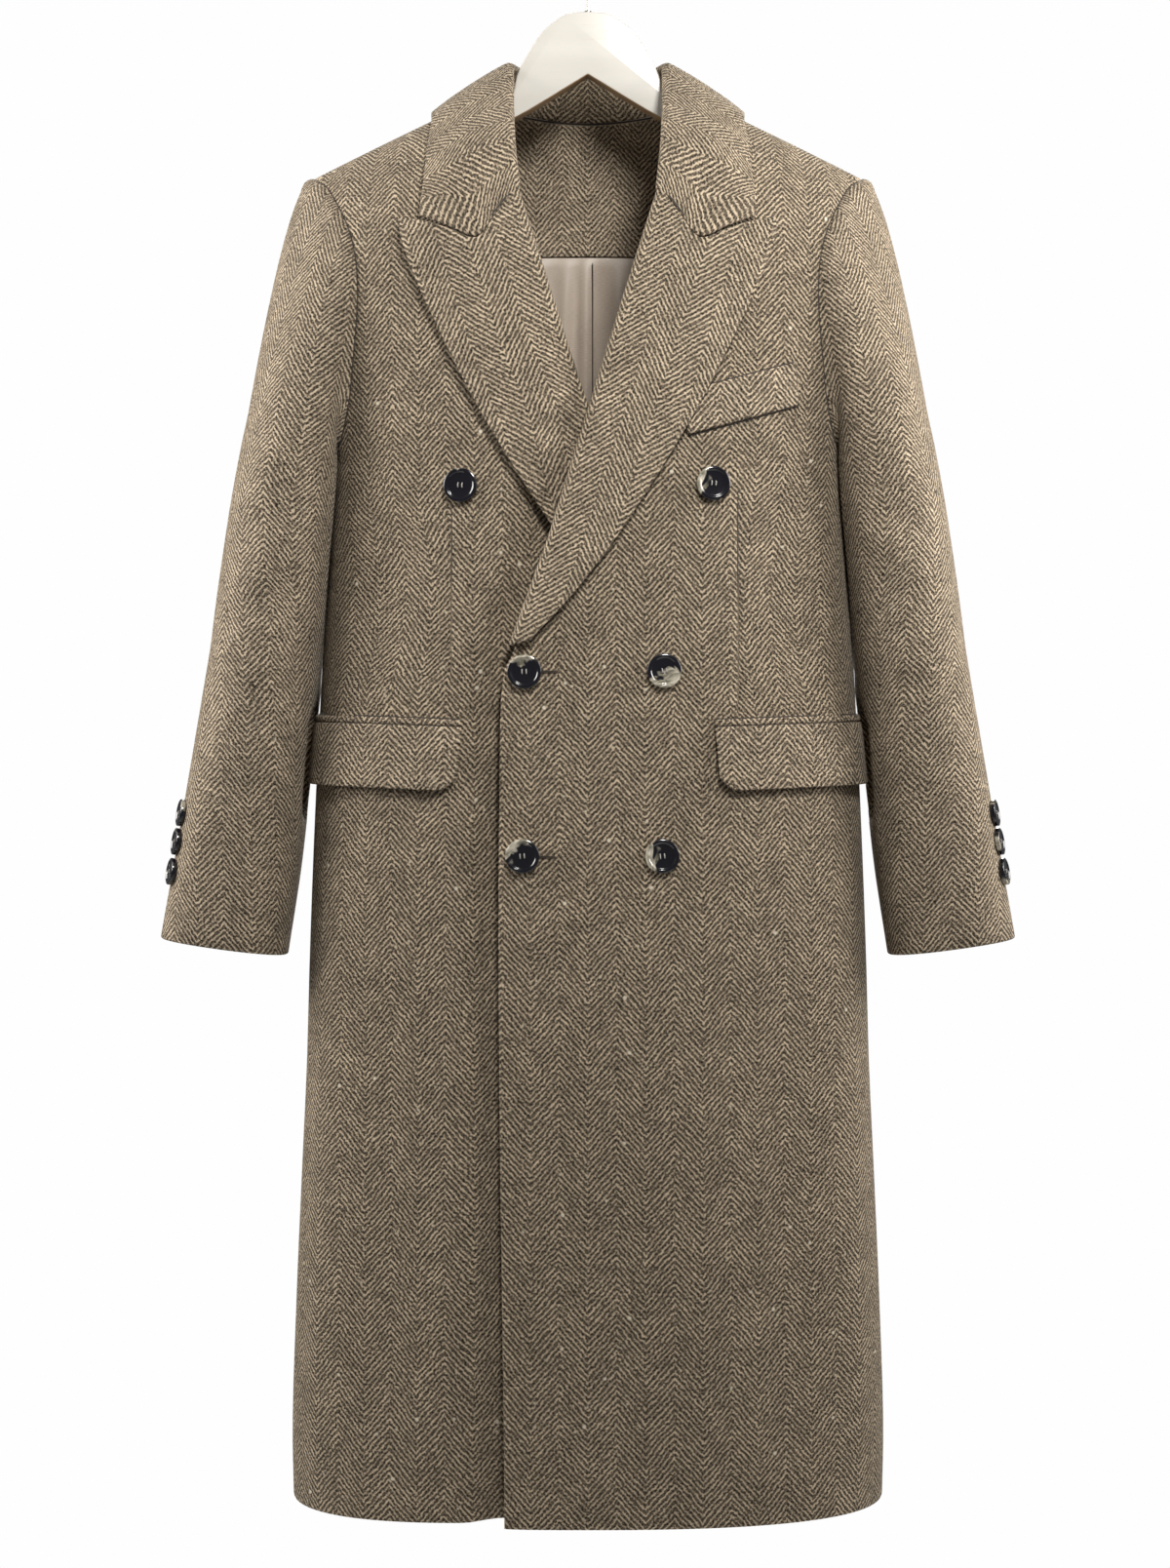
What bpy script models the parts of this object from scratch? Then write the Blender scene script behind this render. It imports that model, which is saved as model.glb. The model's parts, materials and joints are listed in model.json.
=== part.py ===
"""Double-breasted herringbone overcoat on a hanger, in metres. Its front faces -Y, its rail is at z = 0."""

import math

import bpy
import numpy as np

# Sizes that drive the coat
WALL = 0.003
LAPEL_WALL = 0.003
SEAM_GAP = 0.0003
FOLD_RADIUS = 0.006
SIDE_ROUNDNESS = 2.5
FRONT_SHOULDER_ROUND = 0.13
BACK_SHOULDER_ROUND = 0.105
RIDGE_TOP = -0.1016
RIDGE_SLOPE = 0.4868
RIDGE_SOFTNESS = 0.03
NECK_HALF_WIDTH = 0.085
UNDERLAP_SINK_TOP = 0.017
UNDERLAP_SINK_SKIRT = 0.008
UNDERLAP_REACH = 0.050
UNDERLAP_SLOPE = 0.046
FRONT_BUTTON = 0.0277
FRONT_BUTTON_THICK = 0.0045
FRONT_BUTTON_SIDES = 16
CUFF_BUTTON = 0.020
CUFF_BUTTON_THICK = 0.0035
CUFF_BUTTON_SIDES = 12
PANEL_COLUMNS = 11

# The front view is measured in picture units, seen from this distance at this height
EYE_DISTANCE = 2.0
EYE_HEIGHT = -0.730
PICTURE_FOCUS = 2410.0
PICTURE_MIDDLE = (603.0, 804.0)

FRONT, BACK = -1, 1
OVER, UNDER = 1, -1

# mm below the hook, half width, front depth, back depth
BODY_SIZES = (
    (100, 246, 66, 70),
    (150, 246, 78, 78),
    (215, 246, 87, 86),
    (300, 238, 95, 93),
    (380, 226, 99, 97),
    (462, 217, 101, 99),
    (530, 219, 101, 100),
    (610, 224, 101, 100),
    (685, 228, 101, 100),
    (797, 233, 102, 101),
    (884, 236, 104, 103),
    (962, 238, 106, 105),
    (1051, 242, 109, 107),
    (1168, 247, 112, 110),
    (1288, 250, 115, 112),
    (1329, 249, 115, 112),
)

# mm across, mm below the hook: the armhole on the front and on the back, down to the underarm
ARMHOLE_FRONT = (
    (217, 233),
    (200, 267),
    (192, 296),
    (190, 325),
    (191, 349),
    (194, 379),
    (198, 413),
    (206, 445),
    (216, 462),
)
ARMHOLE_BACK = (
    (221, 233),
    (206, 267),
    (199, 296),
    (197, 325),
    (197, 349),
    (199, 379),
    (202, 413),
    (208, 445),
    (216, 462),
)
SHOULDER_TIP = 0.233
SIDE_ROWS = (560, 650, 727, 853, 995, 1147, 1264, 1329)
BACK_MIDDLE_ROWS = (151, 156, 165, 180, 215, 250, 285, 320, 355, 395, 430, 460)
BACK_NECK_DROP = 0.151

# mm across, mm below the hook: the neckline on the front, from the shoulder to the roll line
NECKLINE = ((84, 149), (81.5, 160), (78, 178), (71, 212))
NECK_ROWS = len(NECKLINE) + 2

# picture units: the roll line, the front edge below it, and the hem's corner
ROLL_START = (672.0, 200.0)
ROLL_END = (524.0, 668.0)
FRONT_EDGE = ((515, 700), (512, 800), (511, 960), (512, 1140), (514.5, 1332), (516.5, 1480), (517, 1570))
LAPEL_EDGE = (
    (796, 226),
    (797, 238),
    (790, 262),
    (773, 303),
    (756, 338),
    (732, 388),
    (706, 435),
    (680, 478),
    (661, 508),
    (645, 533),
    (623, 564),
    (603.5, 592),
    (582, 616),
    (560, 640),
    (538, 662),
)
NOTCH = (716.7, 245.0)
COLLAR_POINT = (775.6, 222.7)

# mm along the neck seam, roll x y z, edge x y z, swell, and the way that it swells
COLLAR_STATIONS = (
    (0, 0, 62, -113, 0, 80, -172, 7, 0, 0.94, 0.34),
    (53, 40, 48, -113, 62, 69, -171, 8, 0.35, 0.8, 0.45),
    (80, 55, 27, -114, 104, 39, -158, 9, 0.5, 0.45, 0.75),
    (107, 63, 1, -118, 130, 0, -159, 10.5, 0.55, 0, 0.83),
    (140, 63, -26, -140, 131, -39, -176, 10, 0.45, -0.45, 0.75),
    (175, 62, -54, -170, 133, -63, -204, 8, 0.35, -0.75, 0.55),
    (210, 59.5, -82, -205, 135, -82, -238, 5, 0.2, -0.95, 0.25),
    (246, 54.5, -95, -247, 137, -90, -269, 3, 0, -1, 0),
)

# mm below the hook, middle x, middle y, half width, half depth, tilt: the sleeve's rings
SLEEVE_RINGS = (
    (505, 254, -6, 46, 80, 0.14),
    (610, 269, -9, 47, 72, 0.14),
    (700, 282, -12, 49, 64, 0.14),
    (790, 294, -16, 52, 55, 0.14),
    (866, 306, -20, 53, 47, 0.14),
)
SLEEVE_TWIST = 0.2
HIND_SEAM = 0.86
FOREARM_SEAM = 0.36
SLEEVE_HEAD_ROWS = (0, 0.12, 0.3, 0.5, 0.75, 1)
SLEEVE_ARM_ROWS = (0.17, 0.34, 0.5, 0.67, 0.84, 1)
FLAP_CLEARANCE = 0.011
ARMPIT_GAP = 0.003
SLEEVE_HEAD_SWELL = 0.020

# How many points the back has round the neck and along each shoulder
NECK_COLUMNS = 9
SHOULDER_COLUMNS = 6

# The lapel's rows down the roll line, its shares across, how proud it stands, its top row in picture units
ROLL_PARTS = (0, 0.16, 0.30, 0.45, 0.60, 0.75, 0.985)
LAPEL_ROWS = (0, 0.03, 0.08, 0.16, 0.23, 0.30, 0.375, 0.45, 0.525, 0.60, 0.64, 0.70, 0.75, 0.87, 0.985)
LAPEL_RIGHT_END = 0.64
LAPEL_SHARES = (0.2, 0.4, 0.6, 0.8, 1)
LAPEL_LIFTS = (0.0105, 0.011, 0.011, 0.0105, 0.0095)
PEAK_ROW = ((698, 223), (716.7, 246), (743, 237.5), (769, 229.5), (795, 225))
COLLAR_SHARES = (0.22, 0.45, 0.72, 1)
COLLAR_END_LIFTS = (0.0105, 0.011, 0.0105, 0.0095)

# half width, mm below the hook at the middle and at the sides
INSIDE_GAP = 0.0024
FACING_WALL = 0.0015
LINING_WALL = 0.001
INSIDE_COLUMNS = 9
FACING_ROWS = ((73, 153, 149), (80, 175, 178), (90, 210, 215), (96, 240, 245), (100, 262, 264))
LINING_ROWS = ((100, 263, 265), (108, 310, 312), (114, 370, 372), (116, 430, 431), (116, 480, 480))

FLAP_START = 0.103
FLAP_LENGTH = 0.172
FLAP_HEIGHT = 0.052
FLAP_FRONT_Z = -0.684
FLAP_SIDE_Z = -0.677
FLAP_CORNER = 0.22
FLAP_SHARES = (0, 0.03, 0.09, 0.3, 0.5, 0.7, 0.86, 1)
FLAP_ROWS = (0, 0.35, 0.7, 1)
FLAP_LIFTS = (0.0042, 0.0058, 0.0068, 0.0072)
FLAP_WALL = 0.0029
FLAP_SLANT = 0.004
JETTING_ROWS = (-0.115, -0.01)
JETTING_LIFTS = (0.0034, 0.0040)
JETTING_WALL = 0.0019
WELT_CORNERS = ((700, 402), (813.9, 372.3), (818.7, 415.5), (705, 446))
WELT_LIFT = 0.0028
WELT_SEAT = 0.0005

BUTTON_GAP = 0.0004
CUFF_BUTTON_SHARE = 0.07
UNDER_HEM_LIFT = 0.009

# mm across, mm below the hook: the hanger's dome
HANGER_DOME = ((10, 75.2), (20, 77.5), (38, 91), (52, 112), (60, 128), (64, 144), (72, 143.8))
HANGER_SEAT = 0.0042
HANGER_ARMS = (0.10, 0.14, 0.18, 0.205)
HANGER_BAR = 0.020
HANGER_TOP = -0.0746
HANGER_ARCH = ((0.064, -0.166), (0, -0.128))
HANGER_EDGE = ((-0.007, 0.0025), (-0.005, 0.0006), (-0.003, 0), (0.003, 0), (0.005, 0.0006), (0.007, 0.0025))
HOOK_RADIUS = 0.021
HOOK_WIRE = 0.0028
HOOK_SIDES = 8
HOOK_RINGS = 30
HOOK_STEM = ((0, -0.0743), (0, -0.062), (0.002, -0.052), (0.010, -0.044))

COLOURS = {
    "wool": (0.19, 0.155, 0.115),
    "lining": (0.20, 0.15, 0.12),
    "horn": (0.012, 0.012, 0.02),
    "wood": (0.80, 0.70, 0.56),
    "steel": (0.60, 0.60, 0.60),
}


def clear_scene():
    for thing in list(bpy.data.objects):
        bpy.data.objects.remove(thing, do_unlink=True)


def material(kind):
    found = bpy.data.materials.get(kind)
    if found:
        return found
    made = bpy.data.materials.new(kind)
    made.use_nodes = True
    shader = made.node_tree.nodes["Principled BSDF"]
    shader.inputs["Base Color"].default_value = (*COLOURS[kind], 1)
    shader.inputs["Roughness"].default_value = {"steel": 0.3, "horn": 0.25, "lining": 0.4}.get(kind, 0.85)
    shader.inputs["Metallic"].default_value = 1.0 if kind == "steel" else 0.0
    return made


def add_mesh(name, points, faces, kind):
    """One closed body. Its faces are turned outward when they enclose a negative volume."""
    points = np.asarray(points, float)
    volume = 0.0
    for face in faces:
        for second, third in zip(face[1:-1], face[2:]):
            volume += np.dot(points[face[0]], np.cross(points[second], points[third]))
    if volume < 0:
        faces = [tuple(reversed(face)) for face in faces]
    mesh = bpy.data.meshes.new(name)
    mesh.from_pydata(points.tolist(), [], faces)
    mesh.materials.append(material(kind))
    thing = bpy.data.objects.new(name, mesh)
    bpy.context.collection.objects.link(thing)
    return thing


def unit(vector):
    vector = np.asarray(vector, float)
    return vector / np.maximum(np.linalg.norm(vector, axis=-1, keepdims=True), 1e-12)


def smooth_step(value):
    value = np.clip(value, 0, 1)
    return value * value * (3 - 2 * value)


def smooth_read(table, at):
    """Reads a table of rows (key, values...) with a smooth curve through its rows."""
    table = np.asarray(table, float)
    keys, values = table[:, 0], table[:, 1:]
    slopes = np.gradient(values, keys, axis=0)
    at = np.clip(at, keys[0], keys[-1])
    low = np.clip(np.searchsorted(keys, at, side="right") - 1, 0, len(keys) - 2)
    span = keys[low + 1] - keys[low]
    part = (at - keys[low]) / span
    part, span = np.expand_dims(part, -1), np.expand_dims(span, -1)
    return (
        (2 * part**3 - 3 * part**2 + 1) * values[low]
        + (part**3 - 2 * part**2 + part) * span * slopes[low]
        + (3 * part**2 - 2 * part**3) * values[low + 1]
        + (part**3 - part**2) * span * slopes[low + 1]
    )


def along(points, count):
    """The same path with its points evenly spaced."""
    points = np.asarray(points, float)
    steps = np.linalg.norm(np.diff(points, axis=0), axis=1)
    reach = np.concatenate([[0], np.cumsum(steps)])
    wanted = np.linspace(0, reach[-1], count)
    return np.stack([np.interp(wanted, reach, points[:, k]) for k in range(points.shape[1])], axis=1)


# The body: an upright form with rounded sides, closed over the shoulders


def ridge(x):
    return RIDGE_TOP - RIDGE_SLOPE * np.sqrt(np.square(x) + RIDGE_SOFTNESS**2)


def body_sizes(z):
    sizes = smooth_read(BODY_SIZES, -1000 * np.asarray(z, float)) / 1000
    return sizes[..., 0], sizes[..., 1], sizes[..., 2]


def edge_of_over_front(z):
    """x of the over front's edge at this height, roll line or front edge."""
    rows = (ROLL_START, ROLL_END, *FRONT_EDGE)
    scale = (EYE_DISTANCE - 0.1) / PICTURE_FOCUS
    xs = [(px - PICTURE_MIDDLE[0]) * scale for px, _ in rows]
    zs = [EYE_HEIGHT - (py - PICTURE_MIDDLE[1]) * scale for _, py in rows]
    return np.interp(z, zs[::-1], xs[::-1])


def sink(x, z):
    """How far the under front lies behind the over front where it passes beneath it."""
    deep = UNDERLAP_SINK_SKIRT + (UNDERLAP_SINK_TOP - UNDERLAP_SINK_SKIRT) * smooth_step((z + 0.63) / 0.10)
    near = (x - edge_of_over_front(z) + UNDERLAP_REACH) / UNDERLAP_SLOPE
    return deep * smooth_step(near) * smooth_step((-0.25 - z) / 0.08)


def depth_at(face, x, z, layer=OVER):
    """y of the body's outer face at (x, z)."""
    wide, front, back = body_sizes(z)
    share = np.clip(np.abs(x) / wide, 0, 1)
    flat = (1 - share**SIDE_ROUNDNESS) ** (1 / SIDE_ROUNDNESS)
    soft = FRONT_SHOULDER_ROUND if face == FRONT else BACK_SHOULDER_ROUND
    below = np.clip((ridge(x) - z) / soft, 0, 1)
    over = np.sqrt(np.clip(1 - (1 - below) ** 2, 0, 1))
    y = face * np.where(face == FRONT, front, back) * flat * over
    if layer == UNDER:
        y = y + sink(x, z)
    return y


def body_points(face, xz, layer=OVER):
    xz = np.asarray(xz, float)
    return np.stack([xz[..., 0], depth_at(face, xz[..., 0], xz[..., 1], layer), xz[..., 1]], axis=-1)


def body_normals(face, xz, layer=OVER):
    """Outward directions on the body, from two short steps along it."""
    xz = np.asarray(xz, float)
    wide = body_sizes(xz[..., 1])[0]
    bend = np.arcsin(np.clip(xz[..., 0] / wide, -1, 1))
    step = np.where(bend > 0, -0.004, 0.004)
    beside = np.stack([wide * np.sin(bend + step), xz[..., 1]], axis=-1)
    under = np.stack([xz[..., 0], xz[..., 1] - 0.0004], axis=-1)
    here = body_points(face, xz, layer)
    first = body_points(face, beside, layer) - here
    second = body_points(face, under, layer) - here
    normal = unit(np.cross(first, second))
    outward = np.stack([xz[..., 0] * 0.2, face * np.full_like(xz[..., 0], 0.1), np.zeros_like(wide)], axis=-1)
    outward[..., 2] = np.where(ridge(xz[..., 0]) - xz[..., 1] < 0.02, 0.3, 0)
    turn = np.sign(np.sum(normal * outward, axis=-1, keepdims=True))
    return normal * np.where(turn == 0, 1, turn)


def spot(px, py, layer=OVER, side=1):
    """(x, z) on the front's face where the picture shows this point; side -1 mirrors it."""
    px, py = np.asarray(px, float), np.asarray(py, float)
    y = np.full_like(px, -0.1)
    for _ in range(8):
        scale = (EYE_DISTANCE + y) / PICTURE_FOCUS
        x = side * (px - PICTURE_MIDDLE[0]) * scale
        z = EYE_HEIGHT - (py - PICTURE_MIDDLE[1]) * scale
        y = depth_at(FRONT, x, z, layer)
    return np.stack([x, z], axis=-1)


# Shells: an outer and an inner grid of points, closed round the rim


def trimmed(grid, gap, sides):
    """Moves the rim of a grid inward by the gap on the named sides."""
    grid = grid.copy()
    if "top" in sides:
        grid[0] += gap * unit(grid[1] - grid[0])
    if "bottom" in sides:
        grid[-1] += gap * unit(grid[-2] - grid[-1])
    if "start" in sides:
        grid[:, 0] += gap * unit(grid[:, 1] - grid[:, 0])
    if "end" in sides:
        grid[:, -1] += gap * unit(grid[:, -2] - grid[:, -1])
    return grid


def shell(name, outer, inner, kind="wool"):
    rows, columns = outer.shape[:2]
    points = np.concatenate([outer.reshape(-1, 3), inner.reshape(-1, 3)])
    half = rows * columns

    def index(row, column, deep=0):
        return row * columns + column + deep * half

    faces = []
    for row in range(rows - 1):
        for column in range(columns - 1):
            a, b = index(row, column), index(row, column + 1)
            c, d = index(row + 1, column + 1), index(row + 1, column)
            faces.append((a, b, c, d))
            faces.append((a + half, d + half, c + half, b + half))
    for row in range(rows - 1):
        faces.append((index(row, 0), index(row + 1, 0), index(row + 1, 0, 1), index(row, 0, 1)))
        last = columns - 1
        faces.append((index(row, last), index(row, last, 1), index(row + 1, last, 1), index(row + 1, last)))
    for column in range(columns - 1):
        faces.append((index(0, column), index(0, column, 1), index(0, column + 1, 1), index(0, column + 1)))
        last = rows - 1
        faces.append(
            (index(last, column), index(last, column + 1), index(last, column + 1, 1), index(last, column, 1))
        )
    return add_mesh(name, points, faces, kind)


# The body's panels


def on_ridge(x):
    return np.array([x, ridge(x)])


def shoulder_normal(side):
    """Straight out of the shoulder seam, whose slope eases towards the neck."""
    return unit([side * RIDGE_SLOPE * 0.97, 0, 1])


def spread_row(face, path, count, layer=OVER):
    """Evenly spaced (x, z) along a path over the body."""
    wide = body_sizes(path[:, 1])[0]
    bend = np.arcsin(np.clip(path[:, 0] / wide, -1, 1))
    fine = np.linspace(0, 1, 160)
    keys = np.linspace(0, 1, len(path))
    z = np.interp(fine, keys, path[:, 1])
    x = body_sizes(z)[0] * np.sin(np.interp(fine, keys, bend))
    flat = np.stack([x, z], axis=1)
    solid = body_points(face, flat, layer)
    return along(np.concatenate([solid, flat], axis=1), count)[:, 3:]


def armhole(face):
    """(x, z) down the armhole, with close rows at the shoulder, then down the side seam."""
    table = ARMHOLE_FRONT if face == FRONT else ARMHOLE_BACK
    tip, first = on_ridge(SHOULDER_TIP), np.array([table[0][0], -table[0][1]]) / 1000
    rows = [tip, tip + (first - tip) * 0.12, tip + (first - tip) * 0.45]
    rows += [np.array([x, -down]) / 1000 for x, down in table]
    return np.array(rows)


def side_seam():
    z = -np.array(SIDE_ROWS) / 1000
    return np.stack([body_sizes(z)[0], z], axis=1)


def roll_shift():
    """The fold's radius in picture units: the panel ends this far outside the roll line."""
    return FOLD_RADIUS * PICTURE_FOCUS / (EYE_DISTANCE - 0.1)


def roll_spot(part, layer=OVER):
    """(x, z) of the panel's edge beside the roll line, this share of the way down it."""
    px, py = np.array(ROLL_START) + (np.array(ROLL_END) - np.array(ROLL_START)) * part
    low, last = ROLL_PARTS[-2:]
    shift = roll_shift() * (1 - 0.6 * np.clip((part - low) / (last - low), 0, 1))
    return spot(px + shift, py, layer, layer)


def front_inner_edge(layer):
    """(x, z) down the neckline, beside the roll line and down the front edge, a row for each outer one."""
    first = np.array(NECKLINE[0]) / 1000 * (1, -1)
    neck = on_ridge(NECK_HALF_WIDTH)
    rows = [neck, neck + (first - neck) * 0.3, first]
    rows += [np.array([x, -down]) / 1000 for x, down in NECKLINE[1:]]
    rows = [row * (layer, 1) for row in rows]
    rows += [roll_spot(part, layer) for part in ROLL_PARTS]
    rows += [spot(px, py, layer, layer) for px, py in FRONT_EDGE]
    rows = np.array(rows)
    rows[-1, 1] = -SIDE_ROWS[-1] / 1000
    return rows


def build_front(name, layer):
    outer_edge = np.concatenate([armhole(FRONT), side_seam()]) * (layer, 1)
    inner_edge = front_inner_edge(layer)
    grid = []
    for start, end in zip(inner_edge, outer_edge):
        grid.append(spread_row(FRONT, np.linspace(start, end, 41), PANEL_COLUMNS, layer))
    grid = np.array(grid)
    if layer == UNDER:
        across = np.clip((layer * grid[..., 0] + 0.25) / 0.5, 0, 1)
        low = smooth_step((-grid[..., 1] - 1.1) / 0.22)
        grid[..., 1] += UNDER_HEM_LIFT * low * smooth_step(1.6 - 1.6 * across)
    outer = body_points(FRONT, grid, layer)
    outer[0, :, 1] = 0
    normal = body_normals(FRONT, grid, layer)
    normal[0] = shoulder_normal(layer)
    inner = outer - WALL * normal
    sides = ("top", "start", "end")
    shell(name, trimmed(outer, SEAM_GAP / 2, sides), trimmed(inner, SEAM_GAP / 2, sides))
    return outer, inner


def back_top_path(share):
    """(x, z) along the shoulder seams and the back of the neck, share -1 to 1."""
    x = share * SHOULDER_TIP
    neck = np.clip(np.abs(x) / NECK_HALF_WIDTH, 0, 1) ** 2
    low = -BACK_NECK_DROP + (ridge(NECK_HALF_WIDTH) + BACK_NECK_DROP) * neck
    return np.stack([x, np.where(np.abs(x) < NECK_HALF_WIDTH, low, ridge(x))], axis=-1)


def build_back(name):
    outer_edge = np.concatenate([armhole(BACK), side_seam()])
    middle = [-down / 1000 for down in BACK_MIDDLE_ROWS]
    middle += [row[1] for row in outer_edge[len(BACK_MIDDLE_ROWS) :]]
    share = np.linspace(-1, 1, 81)
    neck_share = NECK_HALF_WIDTH / SHOULDER_TIP
    neck = spread_row(BACK, back_top_path(np.linspace(-neck_share, neck_share, 61)), NECK_COLUMNS)
    shoulder = spread_row(BACK, back_top_path(np.linspace(neck_share, 1, 61)), SHOULDER_COLUMNS)
    grid = [np.concatenate([shoulder[:0:-1] * (-1, 1), neck, shoulder[1:]])]
    top = back_top_path(share)
    columns = len(grid[0])
    for number in range(1, len(outer_edge)):
        x, z = outer_edge[number]
        drop_middle = middle[number] - top[40, 1]
        drop_outer = z - top[-1, 1]
        shaped = top[:, 1] + drop_middle + (drop_outer - drop_middle) * share**2
        level = middle[number] + (z - middle[number]) * share**2
        keep = 1 - smooth_step((number - 3) / 7)
        path = np.stack([share * x, level + (shaped - level) * keep], axis=1)
        grid.append(spread_row(BACK, path, columns))
    grid = np.array(grid)
    outer = body_points(BACK, grid)
    on_shoulder = np.abs(grid[0, :, 0]) >= NECK_HALF_WIDTH - 1e-6
    outer[0, on_shoulder, 1] = 0
    normal = body_normals(BACK, grid)
    for column in np.flatnonzero(on_shoulder):
        normal[0, column] = shoulder_normal(np.sign(grid[0, column, 0]))
    inner = outer - WALL * normal
    sides = ("top", "start", "end")
    shell(name, trimmed(outer, SEAM_GAP / 2, sides), trimmed(inner, SEAM_GAP / 2, sides))
    return outer, inner


# The sleeves: rings from the armhole to the cuff, in two pieces


def ring_share(shares, wide, deep):
    """x and y on a rounded ring at these shares of its length: outside, front, inside, back."""
    angle = np.linspace(0, 2 * math.pi, 241)
    x = wide * np.sign(np.cos(angle)) * np.abs(np.cos(angle)) ** 0.9
    y = -deep * np.sign(np.sin(angle)) * np.abs(np.sin(angle)) ** 0.9
    reach = np.concatenate([[0], np.cumsum(np.hypot(np.diff(x), np.diff(y)))])
    reach /= reach[-1]
    shares = np.mod(shares, 1.0)
    return np.interp(shares, reach, x), np.interp(shares, reach, y)


def sleeve_ring(down, shares, side):
    sizes = smooth_read(SLEEVE_RINGS, down * 1000)
    middle_x, middle_y, wide, deep = sizes[:4] / 1000
    tilt = sizes[4]
    x, y = ring_share(shares, wide, deep)
    z = -down + tilt * x
    return np.stack([side * (middle_x + x), middle_y + y, z], axis=-1)


def kept_off_body(points, side, gap):
    """Pushes a sleeve's points outward until they clear the body's side and the pocket flap."""
    wide, front, back = body_sizes(points[..., 2])
    deep = np.where(points[..., 1] < 0, front, back)
    share = np.clip(np.abs(points[..., 1]) / deep, 0, 1)
    limit = wide * (1 - share**SIDE_ROUNDNESS) ** (1 / SIDE_ROUNDNESS)
    beside_flap = smooth_step((points[..., 2] + 0.775) / 0.03) * smooth_step((-0.655 - points[..., 2]) / 0.03)
    beside_flap = beside_flap * smooth_step((0.012 - points[..., 1]) / 0.02)
    limit = limit + gap + FLAP_CLEARANCE * beside_flap
    points = points.copy()
    points[..., 0] = side * np.maximum(side * points[..., 0], limit)
    return points


def build_sleeve(side, label):
    front = armhole(FRONT) * (side, 1)
    back = armhole(BACK) * (side, 1)
    loop = np.concatenate([body_points(FRONT, front), body_points(BACK, back)[-2::-1]])
    loop[0, 1] = loop[-1, 1] = 0
    count = len(front)
    loop[count - 1, 1] = 0
    lean = np.concatenate([body_normals(FRONT, front), body_normals(BACK, back)[-2::-1]])
    lean[0] = lean[-1] = shoulder_normal(side)
    steps = np.linalg.norm(np.diff(loop, axis=0), axis=1)
    reach = np.concatenate([[0], np.cumsum(steps)])
    middle = reach[count - 1]
    hind_half = 0.5 + 0.5 * (reach - middle) / (reach[-1] - middle)
    shares = np.where(reach <= middle, 0.5 * reach / middle, hind_half)
    first_down, last_down = SLEEVE_RINGS[0][0] / 1000, SLEEVE_RINGS[-1][0] / 1000
    end = sleeve_ring(first_down, shares + SLEEVE_TWIST * 0.25, side)
    gap = np.linalg.norm(end - loop, axis=1)
    leave = unit(lean * 0.6 + np.array([side * 0.8, 0, -0.35]))
    arrive = unit([-side * 0.16, 0.03, 0.985])
    first = loop + leave * np.minimum(SLEEVE_HEAD_SWELL, gap * 0.4)[:, None]
    second = end + arrive * (gap * 0.5)[:, None]
    rows = []
    for part in SLEEVE_HEAD_ROWS:
        rest = 1 - part
        rows.append(rest**3 * loop + 3 * rest**2 * part * first + 3 * rest * part**2 * second + part**3 * end)
    for part in SLEEVE_ARM_ROWS:
        down = first_down + (last_down - first_down) * part
        rows.append(sleeve_ring(down, shares + SLEEVE_TWIST * (0.25 + 0.75 * part), side))
    tube = np.array(rows)
    tube[1:] = kept_off_body(tube[1:], side, ARMPIT_GAP)
    ring = tube[:, :-1]
    across = np.roll(ring, -1, axis=1) - np.roll(ring, 1, axis=1)
    normal = unit(np.cross(across, np.gradient(ring, axis=0)))
    centre = ring.mean(axis=1, keepdims=True)
    if np.sum(normal * (ring - centre)) < 0:
        normal = -normal
    normal = np.concatenate([normal, normal[:, :1]], axis=1)
    seam = smooth_step((np.abs(shares - 0.5) - 0.04) / 0.10)[:, None]
    normal[0] = unit(normal[0] * (1 - seam) + lean * seam)
    inner = tube - WALL * normal
    hind = int(np.argmin(np.abs(shares - HIND_SEAM)))
    fore = int(np.argmin(np.abs(shares - FOREARM_SEAM)))
    top = list(range(hind, len(shares) - 1)) + list(range(0, fore + 1))
    under = list(range(fore, hind + 1))
    for name, columns in (("sleeve_top_" + label, top), ("sleeve_under_" + label, under)):
        sides = ("top", "start", "end")
        shell(
            name,
            trimmed(tube[:, columns], SEAM_GAP / 2, sides),
            trimmed(inner[:, columns], SEAM_GAP / 2, sides),
        )


# The collar and lapels: each a sheet that leaves a panel's edge and folds back over it


def fold(centre, toward_neck, outward, angles):
    """Points round the fold on its seen face and its hidden one."""
    seen, hidden = [], []
    for angle in np.radians(angles):
        way = math.cos(angle) * toward_neck + math.sin(angle) * outward
        seen.append(centre + FOLD_RADIUS * way)
        hidden.append(centre + (FOLD_RADIUS - LAPEL_WALL) * way)
    return seen, hidden


def lapel_edge(part):
    edge = np.array(LAPEL_EDGE, float)
    reach = np.concatenate([[0], np.cumsum(np.linalg.norm(np.diff(edge, axis=0), axis=1))])
    return np.array([np.interp(part * reach[-1], reach, edge[:, k]) for k in (0, 1)])


def laid(px, py, lift, layer):
    """A point this far in front of the front's face, where the picture shows (px, py)."""
    x, z = spot(px, py, layer, layer)
    return np.array([x, depth_at(FRONT, x, z, layer) - lift, z])


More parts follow.
